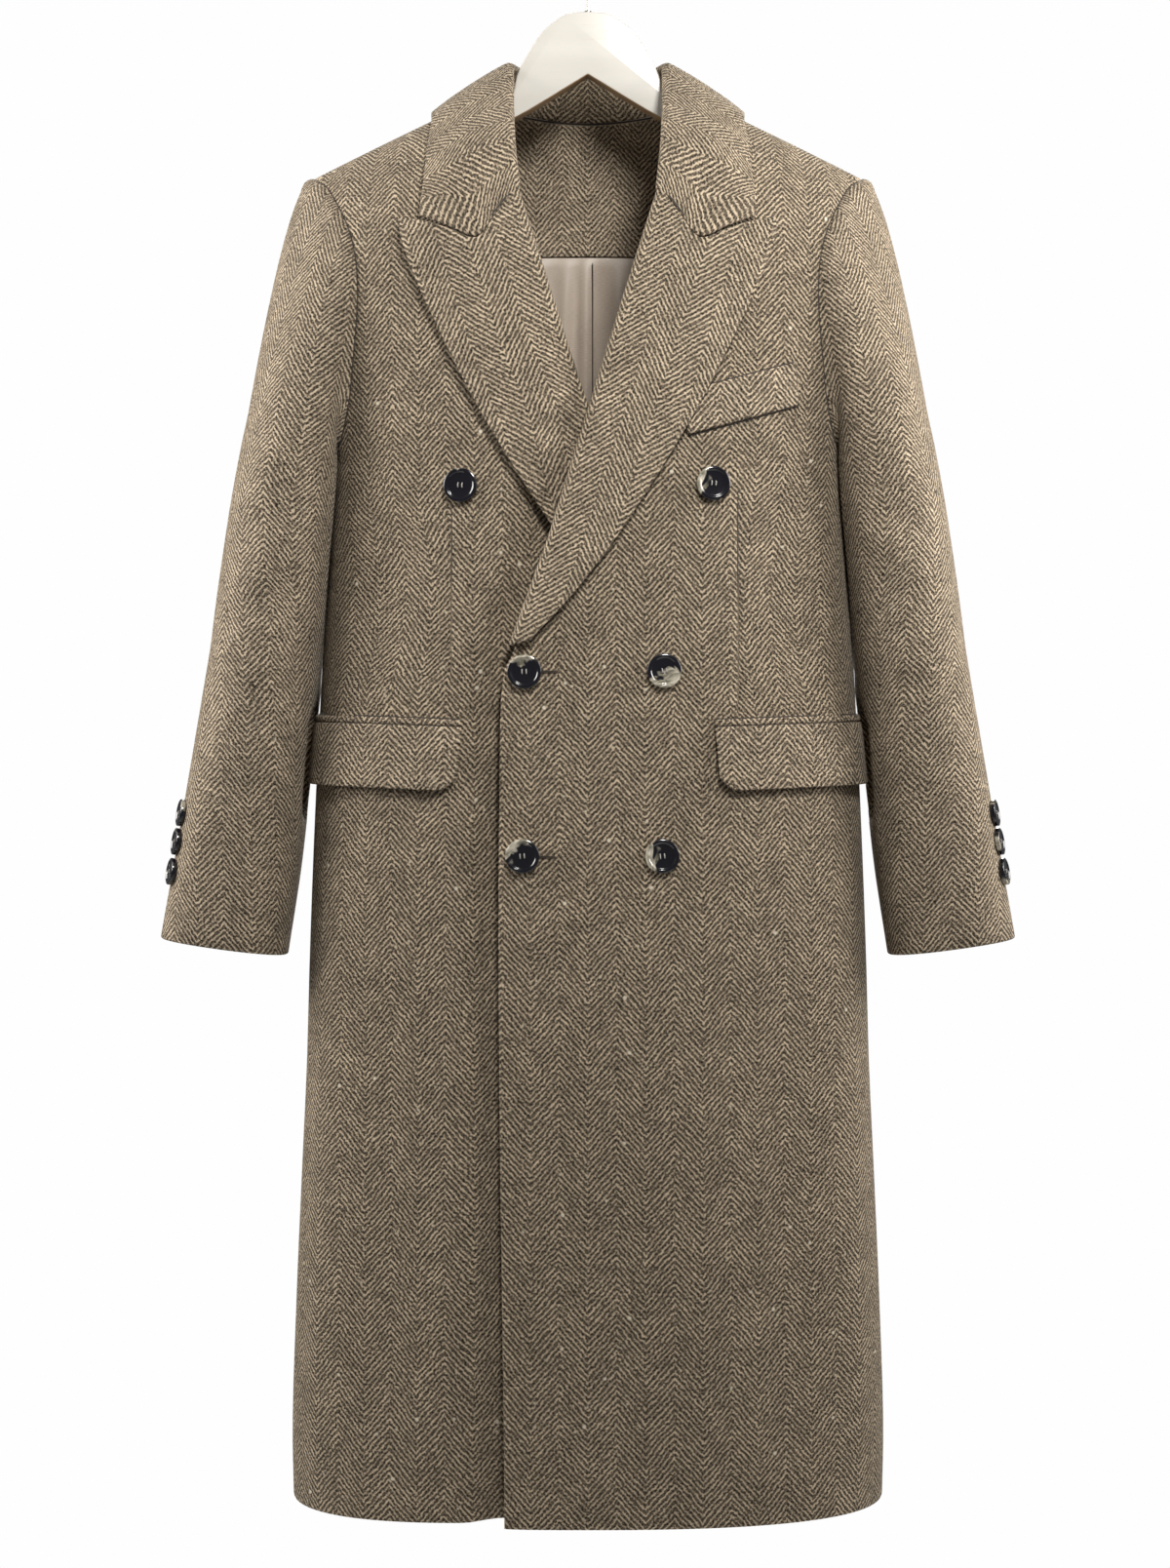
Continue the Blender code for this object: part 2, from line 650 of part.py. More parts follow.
def lapel_row(part, layer, panel):
    """Seen and hidden points across the lapel, from the panel's edge round the fold to the outer edge."""
    outer, inner = panel
    rows = slice(NECK_ROWS, NECK_ROWS + len(ROLL_PARTS))
    edge, beside, deep = (
        np.array([np.interp(part, ROLL_PARTS, points[:, k]) for k in range(3)])
        for points in (outer[rows, 0], outer[rows, 1], inner[rows, 0])
    )
    outward, toward_neck = unit(edge - deep), unit(edge - beside)
    centre = edge + SEAM_GAP * toward_neck + (FOLD_RADIUS - LAPEL_WALL) * outward
    seen, hidden = fold(centre, toward_neck, outward, (-90, -45, 0, 45, 90))
    start = np.array(ROLL_START) + (np.array(ROLL_END) - np.array(ROLL_START)) * part + (roll_shift(), 0)
    end = lapel_edge(part)
    top_end, top_start = lapel_edge(0), np.array(ROLL_START) + (roll_shift(), 0)
    bend = np.clip(1 - part / 0.25, 0, 1) ** 1.5
    for share, peak, lift in zip(LAPEL_SHARES, PEAK_ROW, LAPEL_LIFTS):
        straight = start + (end - start) * share
        px, py = straight + (np.array(peak) - (top_start + (top_end - top_start) * share)) * bend
        seen.append(laid(px, py, lift, layer))
        hidden.append(laid(px, py, lift - LAPEL_WALL, layer))
    return np.array(seen), np.array(hidden)


def build_lapel(name, layer, last, panel):
    rows = [lapel_row(part, layer, panel) for part in LAPEL_ROWS if part <= last]
    seen = np.array([row[0] for row in rows])
    hidden = np.array([row[1] for row in rows])
    shell(name, trimmed(seen, SEAM_GAP, ("top",)), trimmed(hidden, SEAM_GAP, ("top",)))


def collar_end_row(edge_out, edge_in, toward_neck, outward, side):
    """The collar's last row, which follows the gorge to the notch and then runs out to the collar's point."""
    seen, hidden = [edge_in + SEAM_GAP * toward_neck], [edge_out + SEAM_GAP * toward_neck]
    centre = edge_out + 0.0012 * toward_neck + (FOLD_RADIUS - LAPEL_WALL) * outward
    turned = fold(centre, toward_neck, outward, (-90, -45, 0, 45, 90))
    seen += [0.5 * (seen[0] + turned[0][0])] + turned[0]
    hidden += [0.5 * (hidden[0] + turned[1][0])] + turned[1]
    start = np.array(ROLL_START) + (roll_shift(), 0)
    notch, point = np.array(NOTCH), np.array(COLLAR_POINT)
    row = (0.5 * (start + notch), notch, 0.5 * (notch + point), point)
    for (px, py), lift in zip(row, COLLAR_END_LIFTS):
        seen.append(laid(px, py, lift, side))
        hidden.append(laid(px, py, lift - LAPEL_WALL, side))
    return seen, hidden


def collar_row(reach, edge_out, edge_in, toward_neck, side):
    """One section of the collar: up the stand, round the roll and down the fall."""
    values = smooth_read(COLLAR_STATIONS, reach) * 0.001
    flip = np.array([side, 1, 1])
    roll, rim = values[0:3] * flip, values[3:6] * flip
    swell, swell_way = values[6], unit(values[7:10] * flip)
    base = 0.5 * (edge_out + edge_in) + SEAM_GAP * toward_neck
    fall = unit(rim - roll + 2 * swell * swell_way)
    crown = unit(unit(roll - base) - fall)
    outward = unit(fall - np.dot(fall, crown) * crown)
    centre = roll - FOLD_RADIUS * crown
    turned = fold(centre, crown, outward, (-90, -45, 0, 45, 90))
    seen, hidden = [edge_in + SEAM_GAP * toward_neck], [edge_out + SEAM_GAP * toward_neck]
    seen += [0.5 * (seen[0] + turned[0][0])] + turned[0]
    hidden += [0.5 * (hidden[0] + turned[1][0])] + turned[1]
    start = turned[0][-1]
    for share in COLLAR_SHARES:
        point = start + (rim - start) * share + 4 * swell * share * (1 - share) * swell_way
        way = unit(outward + (swell_way - outward) * min(1, 3 * share))
        seen.append(point)
        hidden.append(point - LAPEL_WALL * way)
    return seen, hidden


def build_collar(name, fronts, back):
    """Stations stand on the panels' own neck points, from one front round the back to the other front."""
    stations = []
    last = NECK_ROWS
    for side, order in ((1, range(last, -1, -1)), (-1, range(0, last + 1))):
        outer, inner = fronts[side]
        part = []
        for row in order:
            toward = unit(outer[row, 0] - outer[row, 1])
            part.append((outer[row, 0], inner[row, 0], toward))
        stations.append(part)
    outer, inner = back
    first = SHOULDER_COLUMNS - 1
    neck = []
    for column in range(first + NECK_COLUMNS - 1, first - 1, -1):
        toward = unit(outer[0, column] - outer[1, column])
        neck.append((outer[0, column], inner[0, column], toward))
    joined = stations[0][:-1] + neck + stations[1][1:]
    for index in (len(stations[0]) - 1, len(stations[0]) + NECK_COLUMNS - 2):
        out, deep, _ = joined[index]
        side = 1 if out[0] > 0 else -1
        joined[index] = (out, deep, unit([-side * 0.85, 0, 0.5]))
    points = np.array([station[0] for station in joined])
    reach = np.concatenate([[0], np.cumsum(np.linalg.norm(np.diff(points, axis=0), axis=1))])
    reach = np.abs(reach / reach[-1] * 2 - 1) * COLLAR_STATIONS[-1][0]
    seen, hidden = [], []
    for number, (out, deep, toward) in enumerate(joined):
        side = 1 if out[0] > 0 else -1
        if number in (0, len(joined) - 1):
            xz = np.array([out[0], out[2]])
            row = collar_end_row(out, deep, toward, body_normals(FRONT, xz), side)
        else:
            row = collar_row(reach[number], out, deep, toward, side)
        seen.append(row[0])
        hidden.append(row[1])
    seen, hidden = np.array(seen), np.array(hidden)
    sides = ("top", "bottom")
    shell(name, trimmed(seen, SEAM_GAP, sides), trimmed(hidden, SEAM_GAP, sides))


# What shows inside the back of the neck


def build_inside_back():
    """The facing below the neck seam and the lining below it, on the back's inner face."""
    pieces = (
        ("back_facing", FACING_ROWS, "wool", FACING_WALL),
        ("lining_back", LINING_ROWS, "lining", LINING_WALL),
    )
    for name, table, kind, wall in pieces:
        grid = []
        for half_width, middle_down, side_down in table:
            share = np.linspace(-1, 1, 41)
            down = middle_down + (side_down - middle_down) * share**2
            path = np.stack([share * half_width, -down], axis=1) / 1000
            grid.append(spread_row(BACK, path, INSIDE_COLUMNS))
        grid = np.array(grid)
        normal = body_normals(BACK, grid)
        face = body_points(BACK, grid)
        gap = WALL + INSIDE_GAP
        shell(name, face - gap * normal, face - (gap + wall) * normal, kind)


# What lies on the fronts: pocket flaps with their jettings, and the chest welt


def x_along(reach, z):
    """x at this length round the front from its middle, at height z."""
    bend = np.linspace(0, math.pi / 2, 181)
    wide = body_sizes(z)[0]
    x = wide * np.sin(bend)
    y = depth_at(FRONT, x, np.full_like(x, z))
    run = np.concatenate([[0], np.cumsum(np.hypot(np.diff(x), np.diff(y)))])
    return np.interp(reach, run, x)


def build_flap(side, label):
    layer = OVER if side > 0 else UNDER
    for name, rows, lifts, wall in (
        ("flap_" + label, FLAP_ROWS, FLAP_LIFTS, FLAP_WALL),
        ("jetting_" + label, JETTING_ROWS, JETTING_LIFTS, JETTING_WALL),
    ):
        grid = []
        for row in rows:
            line = []
            for share in FLAP_SHARES:
                low = row
                if row > 0:
                    low = row * (1 - FLAP_CORNER * max(0.0, 1 - share / FLAP_SHARES[2]) ** 2)
                z = FLAP_FRONT_Z + (FLAP_SIDE_Z - FLAP_FRONT_Z) * share - low * FLAP_HEIGHT
                x = x_along(FLAP_START + FLAP_SLANT * low + FLAP_LENGTH * share, z)
                line.append((side * x, z))
            grid.append(line)
        grid = np.array(grid)
        normal = body_normals(FRONT, grid, layer)
        face = body_points(FRONT, grid, layer)
        lift = np.array(lifts)[:, None, None]
        shell(name, face + lift * normal, face + (lift - wall) * normal)


def build_welt(name):
    corners = np.array(WELT_CORNERS, float)
    grid = []
    for down in (0, 0.5, 1):
        start = corners[0] + (corners[3] - corners[0]) * down
        end = corners[1] + (corners[2] - corners[1]) * down
        line = [spot(*(start + (end - start) * share)) for share in np.linspace(0, 1, 7)]
        grid.append(line)
    grid = np.array(grid)
    normal = body_normals(FRONT, grid)
    face = body_points(FRONT, grid)
    shell(name, face + WELT_LIFT * normal, face + WELT_SEAT * normal)


# Buttons, turned about the cloth's own outward direction

# share of the radius, share of the thickness, from the back's middle round to the face's middle
BUTTON_PROFILE = ((0.72, 0), (0.97, 0.35), (1.0, 0.7), (0.93, 1.0), (0.78, 0.95), (0.66, 0.66))


def build_button(name, centre, outward, size, thick, sides):
    outward = unit(outward)
    across = unit(np.cross(outward, [0, 0, 1]))
    up = np.cross(across, outward)
    points, faces = [], []
    for radius, height in BUTTON_PROFILE:
        for step in range(sides):
            angle = 2 * math.pi * step / sides
            way = math.cos(angle) * across + math.sin(angle) * up
            points.append(centre + outward * height * thick + way * radius * size / 2)
    last = len(BUTTON_PROFILE) - 1
    for ring in range(last):
        for step in range(sides):
            after = (step + 1) % sides
            low, high = ring * sides, (ring + 1) * sides
            faces.append((low + step, low + after, high + after, high + step))
    faces.append(tuple(range(sides))[::-1])
    faces.append(tuple(last * sides + step for step in range(sides)))
    add_mesh(name, points, faces, "horn")


# picture units, and whether the button stands on the over front
FRONT_BUTTONS = (
    ("upper_right", 473, 498, UNDER),
    ("upper_left", 731, 496, OVER),
    ("middle_right", 538, 689, OVER),
    ("middle_left", 681, 688, OVER),
    ("lower_right", 536, 878, OVER),
    ("lower_left", 679, 878, OVER),
)

# mm below the hook, and how far off the sleeve's round form the left and the right button's back lies:
# the sleeve's flat facets lie inside that form
CUFF_BUTTONS = ((761, -0.7, 0.0), (785, -1.4, 0.0), (810, -0.5, -0.4))


def build_buttons():
    for label, px, py, layer in FRONT_BUTTONS:
        px = px if layer == OVER else 2 * PICTURE_MIDDLE[0] - px
        xz = spot(px, py, layer, layer)
        outward = body_normals(FRONT, xz, layer)
        centre = body_points(FRONT, xz, layer) + BUTTON_GAP * outward
        build_button("button_" + label, centre, outward, FRONT_BUTTON, FRONT_BUTTON_THICK, FRONT_BUTTON_SIDES)
    for side, label in ((1, "left"), (-1, "right")):
        for number, (down, *gaps) in enumerate(CUFF_BUTTONS, start=1):
            down, gap = down / 1000, gaps[0 if side > 0 else 1] / 1000
            near = np.array([CUFF_BUTTON_SHARE - 0.01, CUFF_BUTTON_SHARE, CUFF_BUTTON_SHARE + 0.01])
            ring = kept_off_body(sleeve_ring(down, near, side), side, ARMPIT_GAP)
            along_ring = ring[2] - ring[0]
            along_arm = sleeve_ring(down + 0.01, near, side)[1] - ring[1]
            outward = unit(np.cross(along_ring, along_arm))
            if outward[0] * side < 0:
                outward = -outward
            name = f"cuff_button_{label}_{number}"
            centre = ring[1] + gap * outward
            build_button(name, centre, outward, CUFF_BUTTON, CUFF_BUTTON_THICK, CUFF_BUTTON_SIDES)


# The hanger: a shaped wooden board with a wire hook


def build_hanger():
    right = [np.array([x, -down]) / 1000 for x, down in HANGER_DOME]
    for x in HANGER_ARMS:
        right.append(np.array([x, ridge(x) - HANGER_SEAT]))
    right.append(np.array([0.212, ridge(0.212) - HANGER_SEAT - 0.006]))
    right.append(np.array([0.208, ridge(0.208) - HANGER_SEAT - 0.017]))
    for x in HANGER_ARMS[-2::-1]:
        right.append(np.array([x, ridge(x) - HANGER_SEAT - HANGER_BAR]))
    right.append(np.array(HANGER_ARCH[0]))
    outline = [np.array([0, HANGER_TOP])] + right + [np.array(HANGER_ARCH[1])]
    outline += [point * (-1, 1) for point in reversed(right)]
    outline = np.array(outline)
    after = np.roll(outline, -1, axis=0) - outline
    before = outline - np.roll(outline, 1, axis=0)
    inward = unit(unit(before) + unit(after))
    inward = np.stack([inward[:, 1], -inward[:, 0]], axis=1)
    points, faces = [], []
    count = len(outline)
    for y, inset in HANGER_EDGE:
        ring = outline + inward * inset
        points += [(x, y, z) for x, z in ring]
    for ring in range(len(HANGER_EDGE) - 1):
        for step in range(count):
            next_step = (step + 1) % count
            low, high = ring * count, (ring + 1) * count
            faces.append((low + step, low + next_step, high + next_step, high + step))
    faces.append(tuple(range(count))[::-1])
    faces.append(tuple((len(HANGER_EDGE) - 1) * count + step for step in range(count)))
    add_mesh("hanger", points, faces, "wood")


def build_hook():
    """A wire from the hanger's top, up and round; the rail touches the inside of its arch at the origin."""
    path = list(HOOK_STEM)
    for degrees in range(-42, 206, 16):
        angle = math.radians(degrees)
        path.append(
            (HOOK_RADIUS * math.cos(angle), HOOK_RADIUS * math.sin(angle) - HOOK_RADIUS + HOOK_WIRE / 2)
        )
    path = along(np.array(path), HOOK_RINGS)
    points, faces = [], []
    way = unit(np.gradient(path, axis=0))
    for (x, z), (dx, dz) in zip(path, way):
        for step in range(HOOK_SIDES):
            angle = 2 * math.pi * step / HOOK_SIDES
            off = HOOK_WIRE / 2 * math.cos(angle)
            points.append((x - dz * off, HOOK_WIRE / 2 * math.sin(angle), z + dx * off))
    for ring in range(len(path) - 1):
        for step in range(HOOK_SIDES):
            after = (step + 1) % HOOK_SIDES
            low, high = ring * HOOK_SIDES, (ring + 1) * HOOK_SIDES
            faces.append((low + step, low + after, high + after, high + step))
    faces.append(tuple(range(HOOK_SIDES))[::-1])
    faces.append(tuple((len(path) - 1) * HOOK_SIDES + step for step in range(HOOK_SIDES)))
    add_mesh("hanger_hook", points, faces, "steel")


def main():
    clear_scene()
    fronts = {
        1: build_front("front_left", OVER),
        -1: build_front("front_right", UNDER),
    }
    back = build_back("back")
    build_sleeve(1, "left")
    build_sleeve(-1, "right")
    build_lapel("lapel_left", OVER, 1.0, fronts[1])
    build_lapel("lapel_right", UNDER, LAPEL_RIGHT_END, fronts[-1])
    build_collar("collar", fronts, back)
    build_inside_back()
    build_flap(1, "left")
    build_flap(-1, "right")
    build_welt("chest_welt")
    build_buttons()
    build_hanger()
    build_hook()


main()
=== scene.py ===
# %% [markdown]
# # A herringbone overcoat on its hanger
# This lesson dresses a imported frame: the frame holds the coat's plain cloth walls, and each step below
# replaces one of them with the finished piece. The frame is loaded first, and its box is kept, so that the
# finished coat can be held against it at the end.

# %% Load the frame
import json
import math

import bpy
import numpy as np
from mathutils import Matrix, Vector

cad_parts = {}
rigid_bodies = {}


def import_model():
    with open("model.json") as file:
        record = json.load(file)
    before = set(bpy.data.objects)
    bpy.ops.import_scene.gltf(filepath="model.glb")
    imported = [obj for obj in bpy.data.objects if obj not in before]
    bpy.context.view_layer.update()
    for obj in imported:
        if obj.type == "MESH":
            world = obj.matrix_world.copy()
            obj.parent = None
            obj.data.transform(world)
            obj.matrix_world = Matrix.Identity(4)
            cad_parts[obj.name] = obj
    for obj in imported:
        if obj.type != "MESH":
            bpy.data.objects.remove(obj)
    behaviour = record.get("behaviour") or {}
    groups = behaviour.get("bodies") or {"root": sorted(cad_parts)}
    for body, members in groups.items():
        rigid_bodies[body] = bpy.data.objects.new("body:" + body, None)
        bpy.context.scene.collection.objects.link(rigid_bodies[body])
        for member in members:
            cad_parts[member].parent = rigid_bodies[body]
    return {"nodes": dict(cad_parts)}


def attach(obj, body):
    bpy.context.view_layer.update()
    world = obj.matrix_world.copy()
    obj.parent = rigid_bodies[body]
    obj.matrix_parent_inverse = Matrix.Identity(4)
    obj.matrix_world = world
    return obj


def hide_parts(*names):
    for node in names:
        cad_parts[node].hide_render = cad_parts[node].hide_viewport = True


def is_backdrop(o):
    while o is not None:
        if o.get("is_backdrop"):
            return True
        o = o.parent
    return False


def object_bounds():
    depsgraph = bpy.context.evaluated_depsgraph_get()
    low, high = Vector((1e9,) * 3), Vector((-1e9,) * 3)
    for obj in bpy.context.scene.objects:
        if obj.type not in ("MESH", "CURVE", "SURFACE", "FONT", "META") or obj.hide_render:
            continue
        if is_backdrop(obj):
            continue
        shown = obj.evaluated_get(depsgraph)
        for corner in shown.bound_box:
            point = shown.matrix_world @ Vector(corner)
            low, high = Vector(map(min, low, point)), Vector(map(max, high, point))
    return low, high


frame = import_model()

cad_box = [[float(value) for value in corner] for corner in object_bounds()]
print("frame:", len(frame["nodes"]), "nodes, box", [[round(v, 3) for v in corner] for corner in cad_box])

# %% [markdown]
# ## Camera, floor and light
# The coat was photographed straight on, in soft light from all round on a white ground. The camera stands
# level with the coat's middle, and its lens is worked out from the picture's size. A small lamp above it
# gives the cloth its direction, two large soft ones stand at the sides and one behind, and a pale floor
# below the hem throws some light back up.

# %% Camera, floor and light
PICTURE_WIDTH, PICTURE_HEIGHT = 1200, 1608
PICTURE_MIDDLE = (603.0, 804.0)
PICTURE_FOCUS = 2410.0
EYE_DISTANCE = 2.0
EYE_HEIGHT = -0.730
SENSOR = 36.0

lens = bpy.data.cameras.new("studio_camera")
lens.sensor_fit = "AUTO"
lens.sensor_width = SENSOR
lens.lens = SENSOR * PICTURE_FOCUS / PICTURE_HEIGHT
lens.shift_x = (PICTURE_WIDTH / 2 - PICTURE_MIDDLE[0]) / PICTURE_HEIGHT
camera = bpy.data.objects.new("studio_camera", lens)
camera.location = (0, -EYE_DISTANCE, EYE_HEIGHT)
camera.rotation_euler = (math.radians(90), 0, 0)
bpy.context.collection.objects.link(camera)
bpy.context.scene.camera = camera

# name, place, aim, size, spread in degrees, strength, colour
LAMPS = (
    ("lamp_front", (0.32, -1.20, 0.40), (0, 0, -0.52), 0.36, 80, 4.0, (1.0, 0.98, 0.94)),
    ("lamp_left", (-1.6, -0.14, 0.0), (-0.2, 0, -0.52), 1.2, 84, 10.0, (1.0, 0.97, 0.93)),
    ("lamp_right", (1.6, -0.16, 0.0), (0.2, 0, -0.46), 1.2, 74, 8.0, (1.0, 0.97, 0.93)),
    ("lamp_back", (0.3, 2.4, 0.7), (0, 0, -0.7), 1.6, 120, 46, (1.0, 0.99, 0.97)),
)
for name, place, aim, size, spread, strength, colour in LAMPS:
    glow = bpy.data.lights.new(name, "AREA")
    glow.shape = "DISK"
    glow.size = size
    glow.spread = math.radians(spread)
    glow.energy = strength
    glow.color = colour
    lamp = bpy.data.objects.new(name, glow)
    lamp.location = place
    lamp.rotation_euler = (Vector(aim) - Vector(place)).to_track_quat("-Z", "Y").to_euler()
    bpy.context.collection.objects.link(lamp)

world = bpy.data.worlds.new("white_room")
bpy.context.scene.world = world
world.use_nodes = True
room = world.node_tree
sky, backdrop = room.nodes["Background"], room.nodes.new("ShaderNodeBackground")
for shade, colour, strength in ((sky, (1.0, 0.995, 0.985, 1), 0.12), (backdrop, (0.99, 0.99, 0.99, 1), 1.0)):
    shade.inputs["Color"].default_value = colour
    shade.inputs["Strength"].default_value = strength
seen_first = room.nodes.new("ShaderNodeLightPath")
choose = room.nodes.new("ShaderNodeMixShader")
for number, socket in enumerate((seen_first.outputs["Is Camera Ray"], sky.outputs[0], backdrop.outputs[0])):
    room.links.new(socket, choose.inputs[number])
room.links.new(choose.outputs[0], room.nodes["World Output"].inputs["Surface"])
bpy.context.scene.view_settings.view_transform = "Standard"

FLOOR_SIZE, FLOOR_MIDDLE_Y, FLOOR_DROP = 1.9, -0.40, 0.27
bpy.ops.mesh.primitive_plane_add(size=FLOOR_SIZE, location=(0, FLOOR_MIDDLE_Y, cad_box[0][2] - FLOOR_DROP))
floor = bpy.context.active_object
floor.name = "studio_floor"
pale = bpy.data.materials.new("pale_floor")
pale.use_nodes = True
floor_shader = pale.node_tree.nodes["Principled BSDF"]
floor_shader.inputs["Base Color"].default_value = (0.95, 0.95, 0.94, 1)
floor_shader.inputs["Roughness"].default_value = 0.7
floor.data.materials.append(pale)
floor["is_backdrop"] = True
print("camera lens", round(lens.lens, 2), "mm, shift", round(lens.shift_x, 5))

# %% [markdown]
# ## Small helpers
# Shader trees are long to write by hand, so a few helpers add a node, join it and hand back its output.
# A group is built once with named sockets, and each material then sets its own values on it.

# %% Helpers for shader trees
FLOAT, COLOUR, VECTOR = "NodeSocketFloat", "NodeSocketColor", "NodeSocketVector"


def new_group(name, inputs, outputs):
    tree = bpy.data.node_groups.new(name, "ShaderNodeTree")
    for label, kind, value in inputs:
        socket = tree.interface.new_socket(name=label, in_out="INPUT", socket_type=kind)
        if value is not None:
            socket.default_value = value
    for label, kind in outputs:
        tree.interface.new_socket(name=label, in_out="OUTPUT", socket_type=kind)
    return tree, tree.nodes.new("NodeGroupInput"), tree.nodes.new("NodeGroupOutput")


def feed(tree, socket, value):
    if isinstance(value, bpy.types.NodeSocket):
        tree.links.new(value, socket)
    elif value is not None:
        socket.default_value = value


def set_inputs(step, **values):
    """Sets sockets by their names, with _ for each space."""
    for label, value in values.items():
        step.inputs[label.replace("_", " ")].default_value = value
    return step


def add_step(tree, kind, values=(), **settings):
    """One node, fed in the order of its sockets; None leaves a socket as it is."""
    step = tree.nodes.new("ShaderNode" + kind)
    for label, value in settings.items():
        setattr(step, label, value)
    for socket, value in zip(step.inputs, values):
        feed(tree, socket, value)
    return step


def maths(tree, operation, *values):
    return add_step(tree, "Math", values, operation=operation).outputs[0]


def vector_maths(tree, operation, *values):
    return add_step(tree, "VectorMath", values, operation=operation).outputs[0]


def fade(tree, value, low, high):
    return add_step(tree, "MapRange", (value, low, high), interpolation_type="SMOOTHSTEP").outputs["Result"]


def blend_colours(tree, share, first, second):
    values = (share, None, None, None, None, None, first, second)
    return add_step(tree, "Mix", values, data_type="RGBA").outputs[2]


def two_tone(tree, share, low, high, first, second):
    """The first colour up to the low value, and the second from the high one."""
    return blend_colours(tree, fade(tree, share, low, high), first, second)


def noise(tree, vector, scale, detail=2.0, roughness=0.5, distortion=0.0, output="Fac"):
    step = add_step(tree, "TexNoise", (vector,))
    set_inputs(step, Scale=scale, Detail=detail, Roughness=roughness, Distortion=distortion)
    return step.outputs[output]


def stretched(tree, vector, scale):
    return set_inputs(add_step(tree, "Mapping", (vector,)), Scale=scale).outputs[0]


def cloth_map(tree):
    return add_step(tree, "UVMap", uv_map="cloth").outputs["UV"]


def object_place(tree):
    return add_step(tree, "TexCoord").outputs["Object"]


def new_material(name, **values):
    made = bpy.data.materials.new(name)
    made.use_nodes = True
    return made, made.node_tree, set_inputs(made.node_tree.nodes["Principled BSDF"], **values)


def join_up(tree, shader, colour, roughness=None, height=None, distance=0.0002, strength=1.0):
    """Joins the colour to the shader, and the roughness and the bump where they are given."""
    tree.links.new(colour, shader.inputs["Base Color"])
    if roughness is not None:
        tree.links.new(roughness, shader.inputs["Roughness"])
    if height is not None:
        bump = set_inputs(add_step(tree, "Bump"), Distance=distance, Strength=strength)
        tree.links.new(height, bump.inputs["Height"])
        tree.links.new(bump.outputs["Normal"], shader.inputs["Normal"])


# %% [markdown]
# ## The herringbone cloth
# Herringbone is a twill whose slant turns back at even columns, so its light weft floats meet in points.
# The columns here are 23 mm wide and the floats 5.4 mm apart. Each cloth piece carries a map of itself laid
# flat, in metres, so the weave keeps its size on every piece and turns with the grain. The floats are broken
# by the yarn's own unevenness, and cream neps and dark flecks are spun in.

# %% The herringbone group
COLUMN = 0.0232
TWILL_PITCH = 0.00535
TWILL_SLOPE = 1.12


